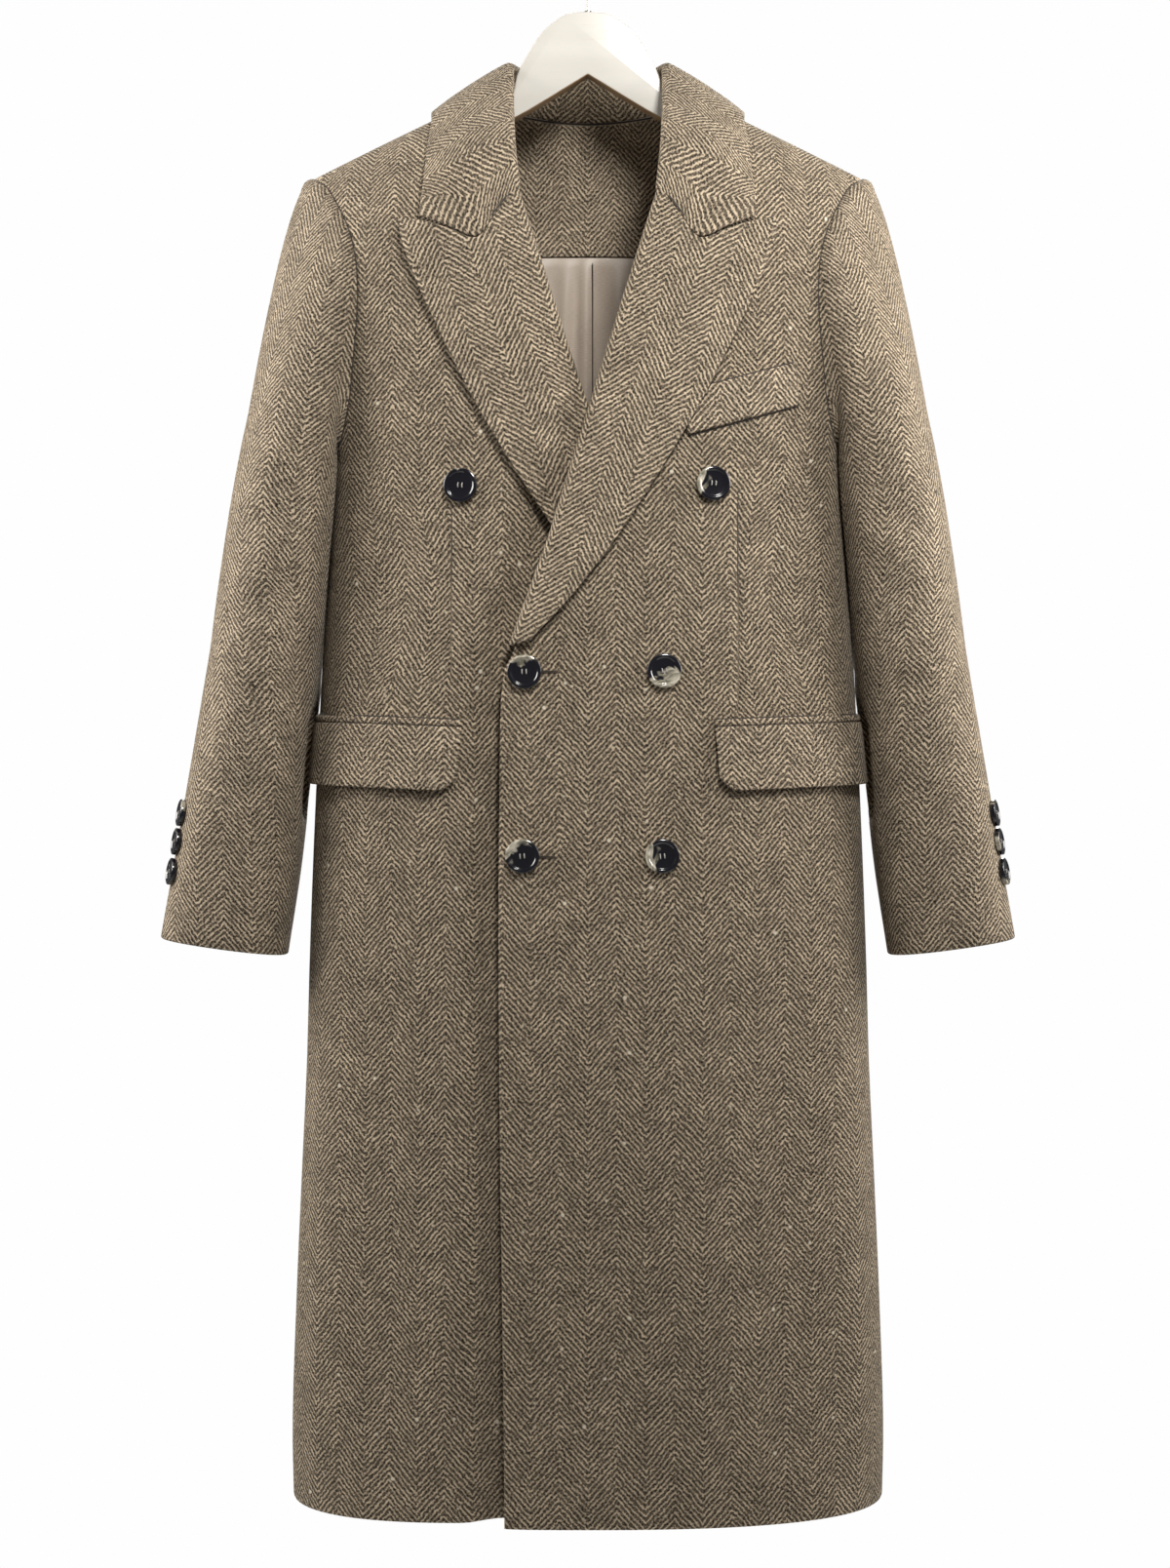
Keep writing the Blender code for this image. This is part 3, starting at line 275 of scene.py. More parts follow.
def build_herringbone():
    tree, given, out = new_group(
        "Herringbone Wool",
        (
            ("Cloth", VECTOR, None),
            ("Shift", FLOAT, 0.0),
            ("Light Yarn", COLOUR, (0.53, 0.430, 0.312, 1)),
            ("Ground", COLOUR, (0.026, 0.0182, 0.0112, 1)),
            ("Shade", COLOUR, (0.003, 0.002, 0.0012, 1)),
            ("Line Strength", FLOAT, 1.0),
            ("Neps", FLOAT, 0.75),
            ("Specks", FLOAT, 0.6),
        ),
        (("Color", COLOUR), ("Height", FLOAT)),
    )
    cloth, light = given.outputs["Cloth"], given.outputs["Light Yarn"]
    slow = vector_maths(tree, "SUBTRACT", noise(tree, cloth, 38, output="Color"), (0.5, 0.5, 0.5))
    bent = vector_maths(tree, "MULTIPLY_ADD", slow, (0.0034, 0.0042, 0), cloth)
    parts = add_step(tree, "SeparateXYZ", (bent,)).outputs
    across = maths(tree, "ADD", parts["X"], given.outputs["Shift"])
    wander = maths(tree, "MULTIPLY", maths(tree, "SUBTRACT", noise(tree, cloth, 210, 2, 0.6), 0.5), 0.0042)
    rise = maths(tree, "MULTIPLY_ADD", maths(tree, "PINGPONG", across, COLUMN), -TWILL_SLOPE, wander)
    phase = maths(tree, "DIVIDE", maths(tree, "ADD", parts["Y"], rise), TWILL_PITCH)
    off_middle = maths(tree, "MULTIPLY_ADD", maths(tree, "FRACT", phase), 2.0, -1.0)
    wave = maths(tree, "SUBTRACT", 1.0, maths(tree, "ABSOLUTE", off_middle))
    grain = noise(tree, cloth, 560, 3, 0.62)
    fine = noise(tree, cloth, 1500, 1)
    broken = maths(tree, "MULTIPLY_ADD", maths(tree, "SUBTRACT", grain, 0.5), 2.1, wave)
    uneven = fade(tree, noise(tree, cloth, 120, 3, 0.68), 0.30, 0.64)
    strength = maths(tree, "MULTIPLY_ADD", uneven, 0.62, 0.46)
    strength = maths(tree, "MULTIPLY", strength, given.outputs["Line Strength"])
    line = maths(tree, "MULTIPLY", fade(tree, broken, 0.54, 0.76), strength)
    dashes = fade(tree, noise(tree, cloth, 190, 2, 0.65), 0.66, 0.40)
    dips = maths(tree, "MULTIPLY_ADD", dashes, 0.6, 0.4)
    dips = maths(tree, "MULTIPLY", fade(tree, broken, 0.52, 0.14), dips)
    speckle = maths(tree, "MULTIPLY_ADD", fine, 0.5, maths(tree, "MULTIPLY", grain, 0.75))
    speckle = maths(tree, "MULTIPLY", fade(tree, speckle, 0.50, 0.76), 0.34)
    yarn = blend_colours(tree, dips, given.outputs["Ground"], given.outputs["Shade"])
    for share in (speckle, line):
        yarn = blend_colours(tree, share, yarn, light)
    patches = noise(tree, cloth, 34, 4, 0.66)
    mottle = add_step(tree, "MapRange", (patches, 0.3, 0.7, 0.80, 1.20)).outputs["Result"]
    colour = vector_maths(tree, "SCALE", yarn, None, None, mottle)
    # scale, size, share of the cells left empty, colour, what scales it
    for scale, size, empty, tone, amount in (
        (58, 0.13, 0.70, (0.78, 0.71, 0.57, 1), "Neps"),
        (96, 0.16, 0.80, (0.60, 0.52, 0.39, 1), "Neps"),
        (74, 0.15, 0.74, (0.010, 0.006, 0.004, 1), "Specks"),
    ):
        cells = set_inputs(add_step(tree, "TexVoronoi", (bent,)), Scale=scale).outputs
        chosen = add_step(tree, "SeparateColor", (cells["Color"],)).outputs[0]
        near = fade(tree, cells["Distance"], size, size * 0.4)
        mask = maths(tree, "MULTIPLY", near, maths(tree, "GREATER_THAN", chosen, empty))
        colour = blend_colours(tree, maths(tree, "MULTIPLY", mask, given.outputs[amount]), colour, tone)
    tree.links.new(colour, out.inputs["Color"])
    lumps = maths(tree, "MULTIPLY_ADD", grain, 0.9, maths(tree, "MULTIPLY", fine, 0.35))
    tree.links.new(maths(tree, "MULTIPLY_ADD", wave, 0.55, lumps), out.inputs["Height"])
    return tree


herringbone = build_herringbone()
WOOL = {"Roughness": 0.92, "Sheen_Weight": 0.10, "Sheen_Roughness": 0.5, "Specular_IOR_Level": 0.12}


def wool_material(name, **values):
    made, tree, shader = new_material(name, **WOOL, Sheen_Tint=(0.95, 0.90, 0.82, 1))
    weave = add_step(tree, "Group", node_tree=herringbone)
    tree.links.new(cloth_map(tree), weave.inputs["Cloth"])
    set_inputs(weave, **values)
    join_up(tree, shader, weave.outputs["Color"], None, weave.outputs["Height"], 0.0011, 0.55)
    return made


wool = wool_material("wool_body")
# painted light: the copies below are the body's cloth made lighter for each piece, the sleeves, lapels and
# collar, flaps and welt to match how the light falls on them, and the facing much lighter to make up for the
# shade inside the neck; their neps, specks and the welt's shifted weave are the cloth's own
wool_sleeve_painted_light = wool_material(
    "wool_sleeve_painted_light", Ground=(0.040, 0.0285, 0.0185, 1), Light_Yarn=(0.60, 0.490, 0.360, 1), Neps=0.2, Specks=0.9
)
wool_turned_painted_light = wool_material(
    "wool_turned_painted_light", Ground=(0.036, 0.0255, 0.0162, 1), Light_Yarn=(0.57, 0.465, 0.340, 1), Neps=0.1, Specks=0.2
)
wool_facing_painted_light = wool_material(
    "wool_facing_painted_light", Ground=(0.10, 0.073, 0.048, 1), Light_Yarn=(0.68, 0.565, 0.42, 1), Neps=0.1
)
wool_flap_painted_light = wool_material("wool_flap_painted_light", Light_Yarn=(0.58, 0.472, 0.345, 1), Neps=0.2)
wool_welt_painted_light = wool_material("wool_welt_painted_light", Shift=0.009, Light_Yarn=(0.60, 0.490, 0.360, 1), Neps=0.1, Specks=0.2)
print("herringbone:", len(herringbone.nodes), "nodes, columns", COLUMN * 1000, "mm wide")

# %% [markdown]
# ## The other finishes
# The lining is a taupe satin with a fine weft. The buttons are horn: near black, with a cream or olive part
# that runs in swirls, so each button's map turns and moves it. The hanger is pale varnished wood with long
# grain, and the hook is polished wire.

# %% Lining, horn, thread, wood and wire


def lining_material():
    made, tree, shader = new_material("lining_satin", Roughness=0.42, Sheen_Weight=0.2, Anisotropic=0.4)
    vector = cloth_map(tree)
    weft = noise(tree, stretched(tree, vector, (1, 9, 1)), 260)
    base = two_tone(tree, noise(tree, vector, 22), 0.3, 0.7, (0.42, 0.350, 0.285, 1), (0.50, 0.420, 0.345, 1))
    tone = two_tone(tree, weft, 0.35, 0.7, base, (0.54, 0.455, 0.38, 1))
    join_up(tree, shader, tone, None, weft, strength=0.3)
    return made


def horn_material():
    made, tree, shader = new_material("horn", Roughness=0.16, Coat_Weight=0.6, Coat_Roughness=0.05)
    vector = cloth_map(tree)
    swirl = maths(tree, "SUBTRACT", noise(tree, vector, 1.1, 2, 0.5, 0.8), 0.5)
    edge = maths(tree, "MULTIPLY_ADD", swirl, 2.2, add_step(tree, "SeparateXYZ", (vector,)).outputs["X"])
    streak = noise(tree, stretched(tree, vector, (2.4, 0.9, 1)), 1.6, 3, 0.6, 0.6)
    pale_part = two_tone(tree, streak, 0.34, 0.66, (0.15, 0.14, 0.10, 1), (0.62, 0.57, 0.47, 1))
    tone = two_tone(tree, edge, 0.40, 0.62, (0.006, 0.006, 0.010, 1), pale_part)
    join_up(tree, shader, tone, maths(tree, "MULTIPLY_ADD", streak, 0.14, 0.10))
    return made


def thread_material(name, tone):
    made, tree, shader = new_material(name, Roughness=0.7, Sheen_Weight=0.2)
    fibre = noise(tree, object_place(tree), 2600)
    dark = tuple(0.55 * part for part in tone[:3]) + (1,)
    join_up(tree, shader, two_tone(tree, fibre, 0.3, 0.7, dark, tone), None, fibre, strength=0.6)
    return made


def wood_material(name, light, pale, dark):
    made, tree, shader = new_material(name, Roughness=0.34, Coat_Weight=0.35, Coat_Roughness=0.2)
    along_board = stretched(tree, object_place(tree), (0.10, 1, 1))
    grain = noise(tree, along_board, 260, 4, 0.6, 0.4)
    base = two_tone(tree, noise(tree, along_board, 40), 0.3, 0.7, light, pale)
    join_up(tree, shader, two_tone(tree, grain, 0.56, 0.95, base, dark), None, grain, strength=0.25)
    return made


def wire_material():
    made, tree, shader = new_material("polished_wire", Roughness=0.2, Metallic=1.0)
    marks = noise(tree, object_place(tree), 900, 3)
    tone = two_tone(tree, marks, 0.3, 0.7, (0.30, 0.27, 0.24, 1), (0.42, 0.39, 0.35, 1))
    join_up(tree, shader, tone, maths(tree, "MULTIPLY_ADD", marks, 0.25, 0.1))
    return made


satin = lining_material()
horn = horn_material()
button_thread = thread_material("button_thread", (0.52, 0.50, 0.47, 1))
# painted shade: this near-black finish stands in for the shade in the seam grooves, along the lining's pleat
# and in the buttonhole slits, not for the thread's own colour
painted_shade_thread = thread_material("painted_shade_thread", (0.045, 0.032, 0.022, 1))
hole_thread = thread_material("hole_thread", (0.26, 0.19, 0.13, 1))
wood = wood_material("pale_wood", (0.68, 0.655, 0.60, 1), (0.73, 0.705, 0.655, 1), (0.62, 0.54, 0.42, 1))
wood_edge = wood_material("sawn_wood", (0.42, 0.27, 0.15, 1), (0.52, 0.35, 0.20, 1), (0.25, 0.14, 0.07, 1))
wire = wire_material()
print("finishes:", ", ".join(made.name for made in (satin, horn, button_thread, painted_shade_thread, wood, wire)))

# %% [markdown]
# ## The coat's form
# A hung coat is a closed form: rounded sides, and a fall over the shoulders. Its sizes are read from a short
# table by a smooth curve, and one formula gives the depth of the cloth at any place across and any height.
# Every panel is cut from this one form, so neighbours meet edge to edge.

# %% Sizes and the form of the body
WALL = 0.003
SEAM_GAP = 0.0001
FOLD_RADIUS = 0.006
SIDE_ROUNDNESS = 2.5
FRONT_SHOULDER_ROUND = 0.13
BACK_SHOULDER_ROUND = 0.105
RIDGE_TOP = -0.1016
RIDGE_SLOPE = 0.4868
RIDGE_SOFTNESS = 0.03
NECK_HALF_WIDTH = 0.085
UNDERLAP_SINK_TOP = 0.017
UNDERLAP_SINK_SKIRT = 0.012
UNDERLAP_REACH = 0.034
UNDERLAP_SLOPE = 0.032
UNDER_HEM_LIFT = 0.009
FRONT_DEPTH = 0.1
ROLL_SHIFT = FOLD_RADIUS * PICTURE_FOCUS / (EYE_DISTANCE - FRONT_DEPTH)
FRONT, BACK = -1, 1
OVER, UNDER = 1, -1

# mm below the hook, half width, front depth, back depth
BODY_SIZES = (
    (100, 246, 66, 70),
    (150, 246, 78, 78),
    (215, 246, 87, 86),
    (300, 238, 95, 93),
    (380, 226, 99, 97),
    (462, 217, 101, 99),
    (530, 219, 101, 100),
    (610, 224, 101, 100),
    (685, 228, 101, 100),
    (797, 233, 102, 101),
    (884, 236, 104, 103),
    (962, 238, 106, 105),
    (1051, 242, 109, 107),
    (1168, 247, 112, 110),
    (1288, 250, 115, 112),
    (1329, 249, 115, 112),
)

# picture units: the roll line and the front edge below it
ROLL_START, ROLL_END = np.array((672.0, 200.0)), np.array((524.0, 668.0))
FRONT_EDGE = ((515, 700), (512, 800), (511, 960), (512, 1140), (514.5, 1332), (516.5, 1480), (517, 1570))


def unit(vector):
    vector = np.asarray(vector, float)
    return vector / np.maximum(np.linalg.norm(vector, axis=-1, keepdims=True), 1e-12)


def smooth_step(value):
    value = np.clip(value, 0, 1)
    return value * value * (3 - 2 * value)


def smooth_read(table, at):
    """Reads a table of rows (key, values...) with a smooth curve through its rows."""
    table = np.asarray(table, float)
    keys, values = table[:, 0], table[:, 1:]
    slopes = np.gradient(values, keys, axis=0)
    at = np.clip(at, keys[0], keys[-1])
    low = np.clip(np.searchsorted(keys, at, side="right") - 1, 0, len(keys) - 2)
    span = keys[low + 1] - keys[low]
    part = (at - keys[low]) / span
    part, span = np.expand_dims(part, -1), np.expand_dims(span, -1)
    return (
        (2 * part**3 - 3 * part**2 + 1) * values[low]
        + (part**3 - 2 * part**2 + part) * span * slopes[low]
        + (3 * part**2 - 2 * part**3) * values[low + 1]
        + (part**3 - part**2) * span * slopes[low + 1]
    )


def refined(rows, times):
    """A smooth curve through the rows, with this many steps between each two."""
    rows = np.asarray(rows, float)
    keyed = np.column_stack([np.arange(len(rows)), rows.reshape(len(rows), -1)])
    at = np.linspace(0, len(rows) - 1, (len(rows) - 1) * times + 1)
    return smooth_read(keyed, at).reshape(-1, *rows.shape[1:])


def refined_grid(grid, down, across):
    grid = refined(grid, down)
    return np.swapaxes(refined(np.swapaxes(grid, 0, 1), across), 0, 1)


def reach_of(points, axis=0):
    """The length along a path, or along each line of a grid, up to each point."""
    steps = np.cumsum(np.linalg.norm(np.diff(points, axis=axis), axis=-1), axis=axis)
    return np.concatenate([np.zeros_like(steps.take([0], axis=axis)), steps], axis=axis)


def along(points, count):
    """The same path with its points evenly spaced."""
    reach = reach_of(points[:, :3])
    wanted = np.linspace(0, reach[-1], count)
    return np.stack([np.interp(wanted, reach, points[:, k]) for k in range(points.shape[1])], axis=1)


def ridge(x):
    return RIDGE_TOP - RIDGE_SLOPE * np.sqrt(np.square(x) + RIDGE_SOFTNESS**2)


def body_sizes(z):
    sizes = smooth_read(BODY_SIZES, -1000 * np.asarray(z, float)) / 1000
    return sizes[..., 0], sizes[..., 1], sizes[..., 2]


def in_metres(px, py, away):
    """x and z of a picture point on the upright plane that stands this far from the eye."""
    scale = away / PICTURE_FOCUS
    return (px - PICTURE_MIDDLE[0]) * scale, EYE_HEIGHT - (py - PICTURE_MIDDLE[1]) * scale


def edge_of_over_front(z):
    xs, zs = in_metres(*np.array((ROLL_START, ROLL_END, *FRONT_EDGE)).T, EYE_DISTANCE - FRONT_DEPTH)
    return np.interp(z, zs[::-1], xs[::-1])


def sink(x, z):
    """How far the under front lies behind the over front where it passes beneath it."""
    deep = UNDERLAP_SINK_SKIRT + (UNDERLAP_SINK_TOP - UNDERLAP_SINK_SKIRT) * smooth_step((z + 0.63) / 0.10)
    near = (x - edge_of_over_front(z) + UNDERLAP_REACH) / UNDERLAP_SLOPE
    return deep * smooth_step(near) * smooth_step((-0.25 - z) / 0.08)


def depth_at(face, x, z, layer=OVER):
    """y of the body's outer face at (x, z)."""
    wide, front, back = body_sizes(z)
    share = np.clip(np.abs(x) / wide, 0, 1)
    flat = (1 - share**SIDE_ROUNDNESS) ** (1 / SIDE_ROUNDNESS)
    soft = FRONT_SHOULDER_ROUND if face == FRONT else BACK_SHOULDER_ROUND
    below = np.clip((ridge(x) - z) / soft, 0, 1)
    over = np.sqrt(np.clip(1 - (1 - below) ** 2, 0, 1))
    y = face * (front if face == FRONT else back) * flat * over
    return y + sink(x, z) if layer == UNDER else y


def body_points(face, xz, layer=OVER):
    xz = np.asarray(xz, float)
    return np.stack([xz[..., 0], depth_at(face, xz[..., 0], xz[..., 1], layer), xz[..., 1]], axis=-1)


def body_normals(face, xz, layer=OVER):
    """Outward directions on the body, from two short steps along it."""
    xz = np.asarray(xz, float)
    wide = body_sizes(xz[..., 1])[0]
    bend = np.arcsin(np.clip(xz[..., 0] / wide, -1, 1))
    step = np.where(bend > 0, -0.004, 0.004)
    beside = np.stack([wide * np.sin(bend + step), xz[..., 1]], axis=-1)
    under = np.stack([xz[..., 0], xz[..., 1] - 0.0004], axis=-1)
    here = body_points(face, xz, layer)
    normal = unit(np.cross(body_points(face, beside, layer) - here, body_points(face, under, layer) - here))
    outward = np.stack([xz[..., 0] * 0.2, face * np.full_like(xz[..., 0], 0.1), np.zeros_like(wide)], axis=-1)
    outward[..., 2] = np.where(ridge(xz[..., 0]) - xz[..., 1] < 0.02, 0.3, 0)
    turn = np.sign(np.sum(normal * outward, axis=-1, keepdims=True))
    return normal * np.where(turn == 0, 1, turn)


def raised(face, xz, lift=0, layer=OVER):
    """Points that stand this far off the body, and the outward directions there."""
    normal = body_normals(face, xz, layer)
    return body_points(face, xz, layer) + lift * normal, normal


def spot(px, py, layer=OVER, side=1):
    """(x, z) on the front's face where the picture shows this point; side -1 mirrors it."""
    px, py = np.asarray(px, float), np.asarray(py, float)
    y = np.full_like(px, -FRONT_DEPTH)
    for _ in range(8):
        x, z = in_metres(px, py, EYE_DISTANCE + y)
        y = depth_at(FRONT, side * x, z, layer)
    return np.stack([side * x, z], axis=-1)


chest_width, hem_width = (round(2000 * float(body_sizes(z)[0])) for z in (-0.45, -1.32))
print("chest is", chest_width, "mm wide, hem", hem_width)

# %% [markdown]
# ## Laying the cloth flat
# The weave must know where it is on the flat cloth. Across, that is the length of cloth from the middle of
# the body round to the point, and down it is the length of cloth from the chest line, which grows faster
# than the height where the cloth turns over the shoulder.

# %% The cloth map of the body
CHEST_LINE = -0.36


def round_reach(face, x, z):
    wide = body_sizes(z)[0]
    bend = np.arcsin(np.clip(np.abs(x) / wide, 0, 1))
    parts = np.linspace(0, 1, 33)
    xs = wide[..., None] * np.sin(bend[..., None] * parts)
    ys = depth_at(face, xs, np.broadcast_to(np.asarray(z)[..., None], xs.shape))
    return np.sign(x) * np.hypot(np.diff(xs, axis=-1), np.diff(ys, axis=-1)).sum(axis=-1)


def up_reach(face, x, z):
    parts = np.linspace(0, 1, 25)
    zs = CHEST_LINE + (np.maximum(z, CHEST_LINE) - CHEST_LINE)[..., None] * parts
    ys = depth_at(face, np.broadcast_to(np.asarray(x)[..., None], zs.shape), zs)
    up = np.hypot(np.diff(zs, axis=-1), np.diff(ys, axis=-1)).sum(axis=-1)
    return np.where(z > CHEST_LINE, CHEST_LINE + up, z)


def body_map(face, xz):
    x, z = xz[..., 0], xz[..., 1]
    return np.stack([round_reach(face, x, z), up_reach(face, x, z)], axis=-1)


# %% [markdown]
# ## A wall of cloth
# Each piece is one closed sheet with a soft edge. It is given as a grid of points halfway through the cloth
# and the half thickness at each. Close rows are added beside the rim, where the thickness dies away in a
# quarter round, so edges look turned and two pieces that meet leave the small groove of a seam.

# %% Walls, folds and finishing
def only(*things):
    bpy.ops.object.select_all(action="DESELECT")
    for thing in things:
        thing.select_set(True)
    bpy.context.view_layer.objects.active = things[0]


def open_up(thing):
    """Edit mode on this piece alone, with all of it selected."""
    only(thing)
    bpy.ops.object.mode_set(mode="EDIT")
    bpy.ops.mesh.select_all(action="SELECT")


def close_up():
    bpy.ops.object.mode_set(mode="OBJECT")
    return bpy.context.active_object


def resized(thing, scale):
    open_up(thing)
    bpy.ops.transform.resize(value=scale)
    return close_up()


def primitive(add, **sizes):
    """A new simple shape with its place and turn applied."""
    bpy.ops.object.select_all(action="DESELECT")
    add(**sizes)
    made = bpy.context.active_object
    only(made)
    bpy.ops.object.transform_apply(location=True, rotation=True, scale=True)
    return made


def joined(*things):
    only(*things)
    bpy.ops.object.join()
    return bpy.context.active_object


def linked(name, data):
    piece = bpy.data.objects.new(name, data)
    bpy.context.collection.objects.link(piece)
    return piece


SEAM_THICK = 0.0006
# share of the edge's radius, share of the full thickness
EDGE_ROWS = ((0.0, 0.14), (0.28, 0.68), (1.0, 1.0))
MOST_EDGE_STEP = 0.45


def with_soft_rim(middle, half, cloth, radius):
    fields = np.concatenate([middle, half, cloth, np.ones(middle.shape[:2])[..., None]], axis=-1)
    for axis in (0, 1):
        fields = np.moveaxis(fields, axis, 0)
        starts, ends = [], []
        for share, thick in EDGE_ROWS:
            for rows, first, second in ((starts, fields[0], fields[1]), (ends, fields[-1], fields[-2])):
                span = np.linalg.norm(second[:, :3] - first[:, :3], axis=1, keepdims=True)
                step = np.minimum(share * radius / np.maximum(span, 1e-9), share * MOST_EDGE_STEP)
                row = first + (second - first) * step
                row[:, -1] *= thick
                rows.append(row)
        fields = np.moveaxis(np.concatenate([starts, fields[1:-1], ends[::-1]]), 0, axis)
    return fields[..., :3], fields[..., 3:6] * fields[..., -1:], fields[..., 6:8]


def wall(name, middle, half, cloth, finish, inner_finish=None, lined=None, radius=0.0016):
    """A closed sheet with its cloth map. lined(across, down) says where its inside shows the lining."""
    middle, half, cloth = with_soft_rim(middle, half, cloth, radius)
    rows, columns = middle.shape[:2]
    count = rows * columns
    points = np.concatenate([(middle + half).reshape(-1, 3), (middle - half).reshape(-1, 3)])
    number = np.arange(count).reshape(rows, columns)
    quads = np.stack([number[:-1, :-1], number[:-1, 1:], number[1:, 1:], number[1:, :-1]], axis=-1)
    quads = quads.reshape(-1, 4)
    rim = np.concatenate([number[0], number[1:, -1], number[-1, -2::-1], number[-2:0:-1, 0]])
    after = np.roll(rim, -1)
    edge = np.stack([rim, rim + count, after + count, after], axis=-1)
    faces = np.concatenate([quads, quads[:, ::-1] + count, edge])
    a, b, c, d = (points[faces[:, corner]] for corner in range(4))
    volume = np.sum(a * np.cross(b, c)) + np.sum(a * np.cross(c, d))
    if volume < 0:
        faces = faces[:, ::-1]
    mesh = bpy.data.meshes.new(name)
    mesh.from_pydata(points.tolist(), [], faces.tolist())
    flat = np.tile(cloth.reshape(-1, 2), (2, 1))
    corners = np.empty(len(mesh.loops), int)
    mesh.loops.foreach_get("vertex_index", corners)
    mesh.uv_layers.new(name="cloth").data.foreach_set("uv", flat[corners].ravel())
    mesh.materials.append(finish)
    if inner_finish:
        mesh.materials.append(inner_finish)
        slots = np.zeros(len(faces), int)
        inside = slice(len(quads), 2 * len(quads))
        spots = flat[faces[inside]].mean(axis=1)
        slots[inside] = 1 if lined is None else lined(spots[:, 0], spots[:, 1])
        mesh.polygons.foreach_set("material_index", slots)
    mesh.shade_smooth()
    return linked(name, mesh)


def fold_heights(across, down, folds):
    """Height of soft ridges (or troughs) in metres; each row is mm: from, to, width, height."""
    total = np.zeros_like(across)
    for x1, z1, x2, z2, width, height in folds:
        start, end = np.array((x1, z1)) / 1000, np.array((x2, z2)) / 1000
        way = end - start
        part = ((across - start[0]) * way[0] + (down - start[1]) * way[1]) / np.dot(way, way)
        held = np.clip(part, 0, 1)
        off = np.hypot(across - start[0] - held * way[0], down - start[1] - held * way[1])
        taper = np.clip(1 - np.abs(2 * held - 1) ** 3, 0, 1)
        total += height / 1000 * taper * np.exp(-((off / (width / 1000)) ** 2))
    return total


def seam_line(name, points, normals, finish, width):
    """A narrow band along a seam, closed all round; in the dark finish it is painted shade in the seam's
    groove, in the others it is thread.
    """
    aside = unit(np.cross(np.gradient(points, axis=0), normals)) * width / 2
    up = unit(normals) * SEAM_THICK / 2
    corners = (-aside - up, aside - up, aside + up, up - aside)
    rings = np.stack([points + corner for corner in corners], axis=1)
    count = len(points)
    faces = [(0, 3, 2, 1), tuple(4 * (count - 1) + k for k in range(4))]
    for row in range(count - 1):
        for k in range(4):
            a, b = 4 * row + k, 4 * row + (k + 1) % 4
            faces.append((a, b, b + 4, a + 4))
    mesh = bpy.data.meshes.new(name)
    mesh.from_pydata(rings.reshape(-1, 3).tolist(), [], faces)
    mesh.materials.append(finish)
    mesh.shade_smooth()
    line = linked(name, mesh)
    open_up(line)
    bpy.ops.mesh.normals_make_consistent(inside=False)
    close_up()
    place_piece(line, "wool")


def surface_area(piece):
    return sum(face.area for face in piece.data.polygons)


def place_piece(piece, slot, *nodes):
    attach(piece, "root")
    if nodes:
        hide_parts(*nodes)


def declare_sheet(piece, flat):
    """The cut's area is the cloth's own: one side of the finished sheet."""
    area = min(surface_area(piece) / 2, flat[0] * flat[1])
    print(f"{piece.name}: cut from {flat[0]:.2f} x {flat[1]:.2f} m, {area:.3f} square metres")


# %% [markdown]
# ## The front panels
# Each front runs from the shoulder seam to the hem, between its inner edge (neckline, roll line and front
# edge) and its outer one (armhole and side seam). A waist dart takes in a little cloth beside the buttons:
# the grid has a narrow groove there, and the cloth map jumps across it, so the weave's columns close up as
# they do on a real dart. Soft hollows and swells, uneven in length and spacing, are laid over all of it.

# %% The front panels
# mm across, mm below the hook: the armhole on the front and on the back, down to the underarm
ARMHOLE_FRONT = (
    (217, 233),
    (200, 267),
    (192, 296),
    (190, 325),
    (191, 349),
    (194, 379),
    (198, 413),
    (206, 445),
    (216, 462),
)
ARMHOLE_BACK = (
    (221, 233),
    (206, 267),
    (199, 296),
    (197, 325),
    (197, 349),
    (199, 379),
    (202, 413),
    (208, 445),
    (216, 462),
)
SHOULDER_TIP = 0.233
SIDE_ROWS = (560, 650, 727, 853, 995, 1147, 1264, 1329)
NECKLINE = ((84, 149), (81.5, 160), (78, 178), (71, 212))
NECK_ROWS = len(NECKLINE) + 2
ROLL_PARTS = (0, 0.16, 0.30, 0.45, 0.60, 0.75, 0.985)
PANEL_FINENESS = 4
PANEL_COLUMNS = 24
GROOVE = 0.0007
GROOVE_DEPTH = 0.0011
DART_INTAKE = 0.012
DART_DEPTH = 0.092
FACING_WIDTH = 0.11
FACING_UNDER = 0.07
LINING_END = -1.285
EDGE_THICKENING = 0.0022
EDGE_REACH = 0.014
QUIET_FRONT_EDGE, QUIET_SIDE = 0.05, 0.03

# picture units: the dart's x, its top and its foot
DARTS = {OVER: (757, 498, 737), UNDER: (2 * PICTURE_MIDDLE[0] - 463, 518, 702)}

# mm on the flat cloth: from (across, down) to (across, down), width, height
FRONT_FOLDS = (
    (150, -470, 175, -640, 26, -2.5),
    (205, -500, 215, -700, 24, 2.0),
    (60, -820, 95, -1300, 42, 3.0),
    (150, -860, 170, -1310, 38, -3.0),
    (225, -780, 240, -1320, 36, 2.8),
    (-20, -900, 10, -1300, 40, -2.0),
    (110, -560, 135, -660, 20, 1.2),
    (120, -250, 175, -330, 24, -1.5),
    (285, -900, 300, -1300, 30, -2.2),
)


def away_from(grid, column, reach):
    """0 at this column of the grid, and 1 from this far off."""
    return smooth_step(np.abs(grid[..., 0] - grid[:, [column], 0]) / reach)


def on_ridge(x):
    return np.array([x, ridge(x)])


def shoulder_normal(side):
    return unit([side * RIDGE_SLOPE * 0.97, 0, 1])


def spread_row(face, path, count, layer=OVER):
    """Evenly spaced (x, z) along a path over the body."""
    wide = body_sizes(path[:, 1])[0]
    bend = np.arcsin(np.clip(path[:, 0] / wide, -1, 1))
    fine = np.linspace(0, 1, 160)
    keys = np.linspace(0, 1, len(path))
    z = np.interp(fine, keys, path[:, 1])
    x = body_sizes(z)[0] * np.sin(np.interp(fine, keys, bend))
    flat = np.stack([x, z], axis=1)
    return along(np.concatenate([body_points(face, flat, layer), flat], axis=1), count)[:, 3:]


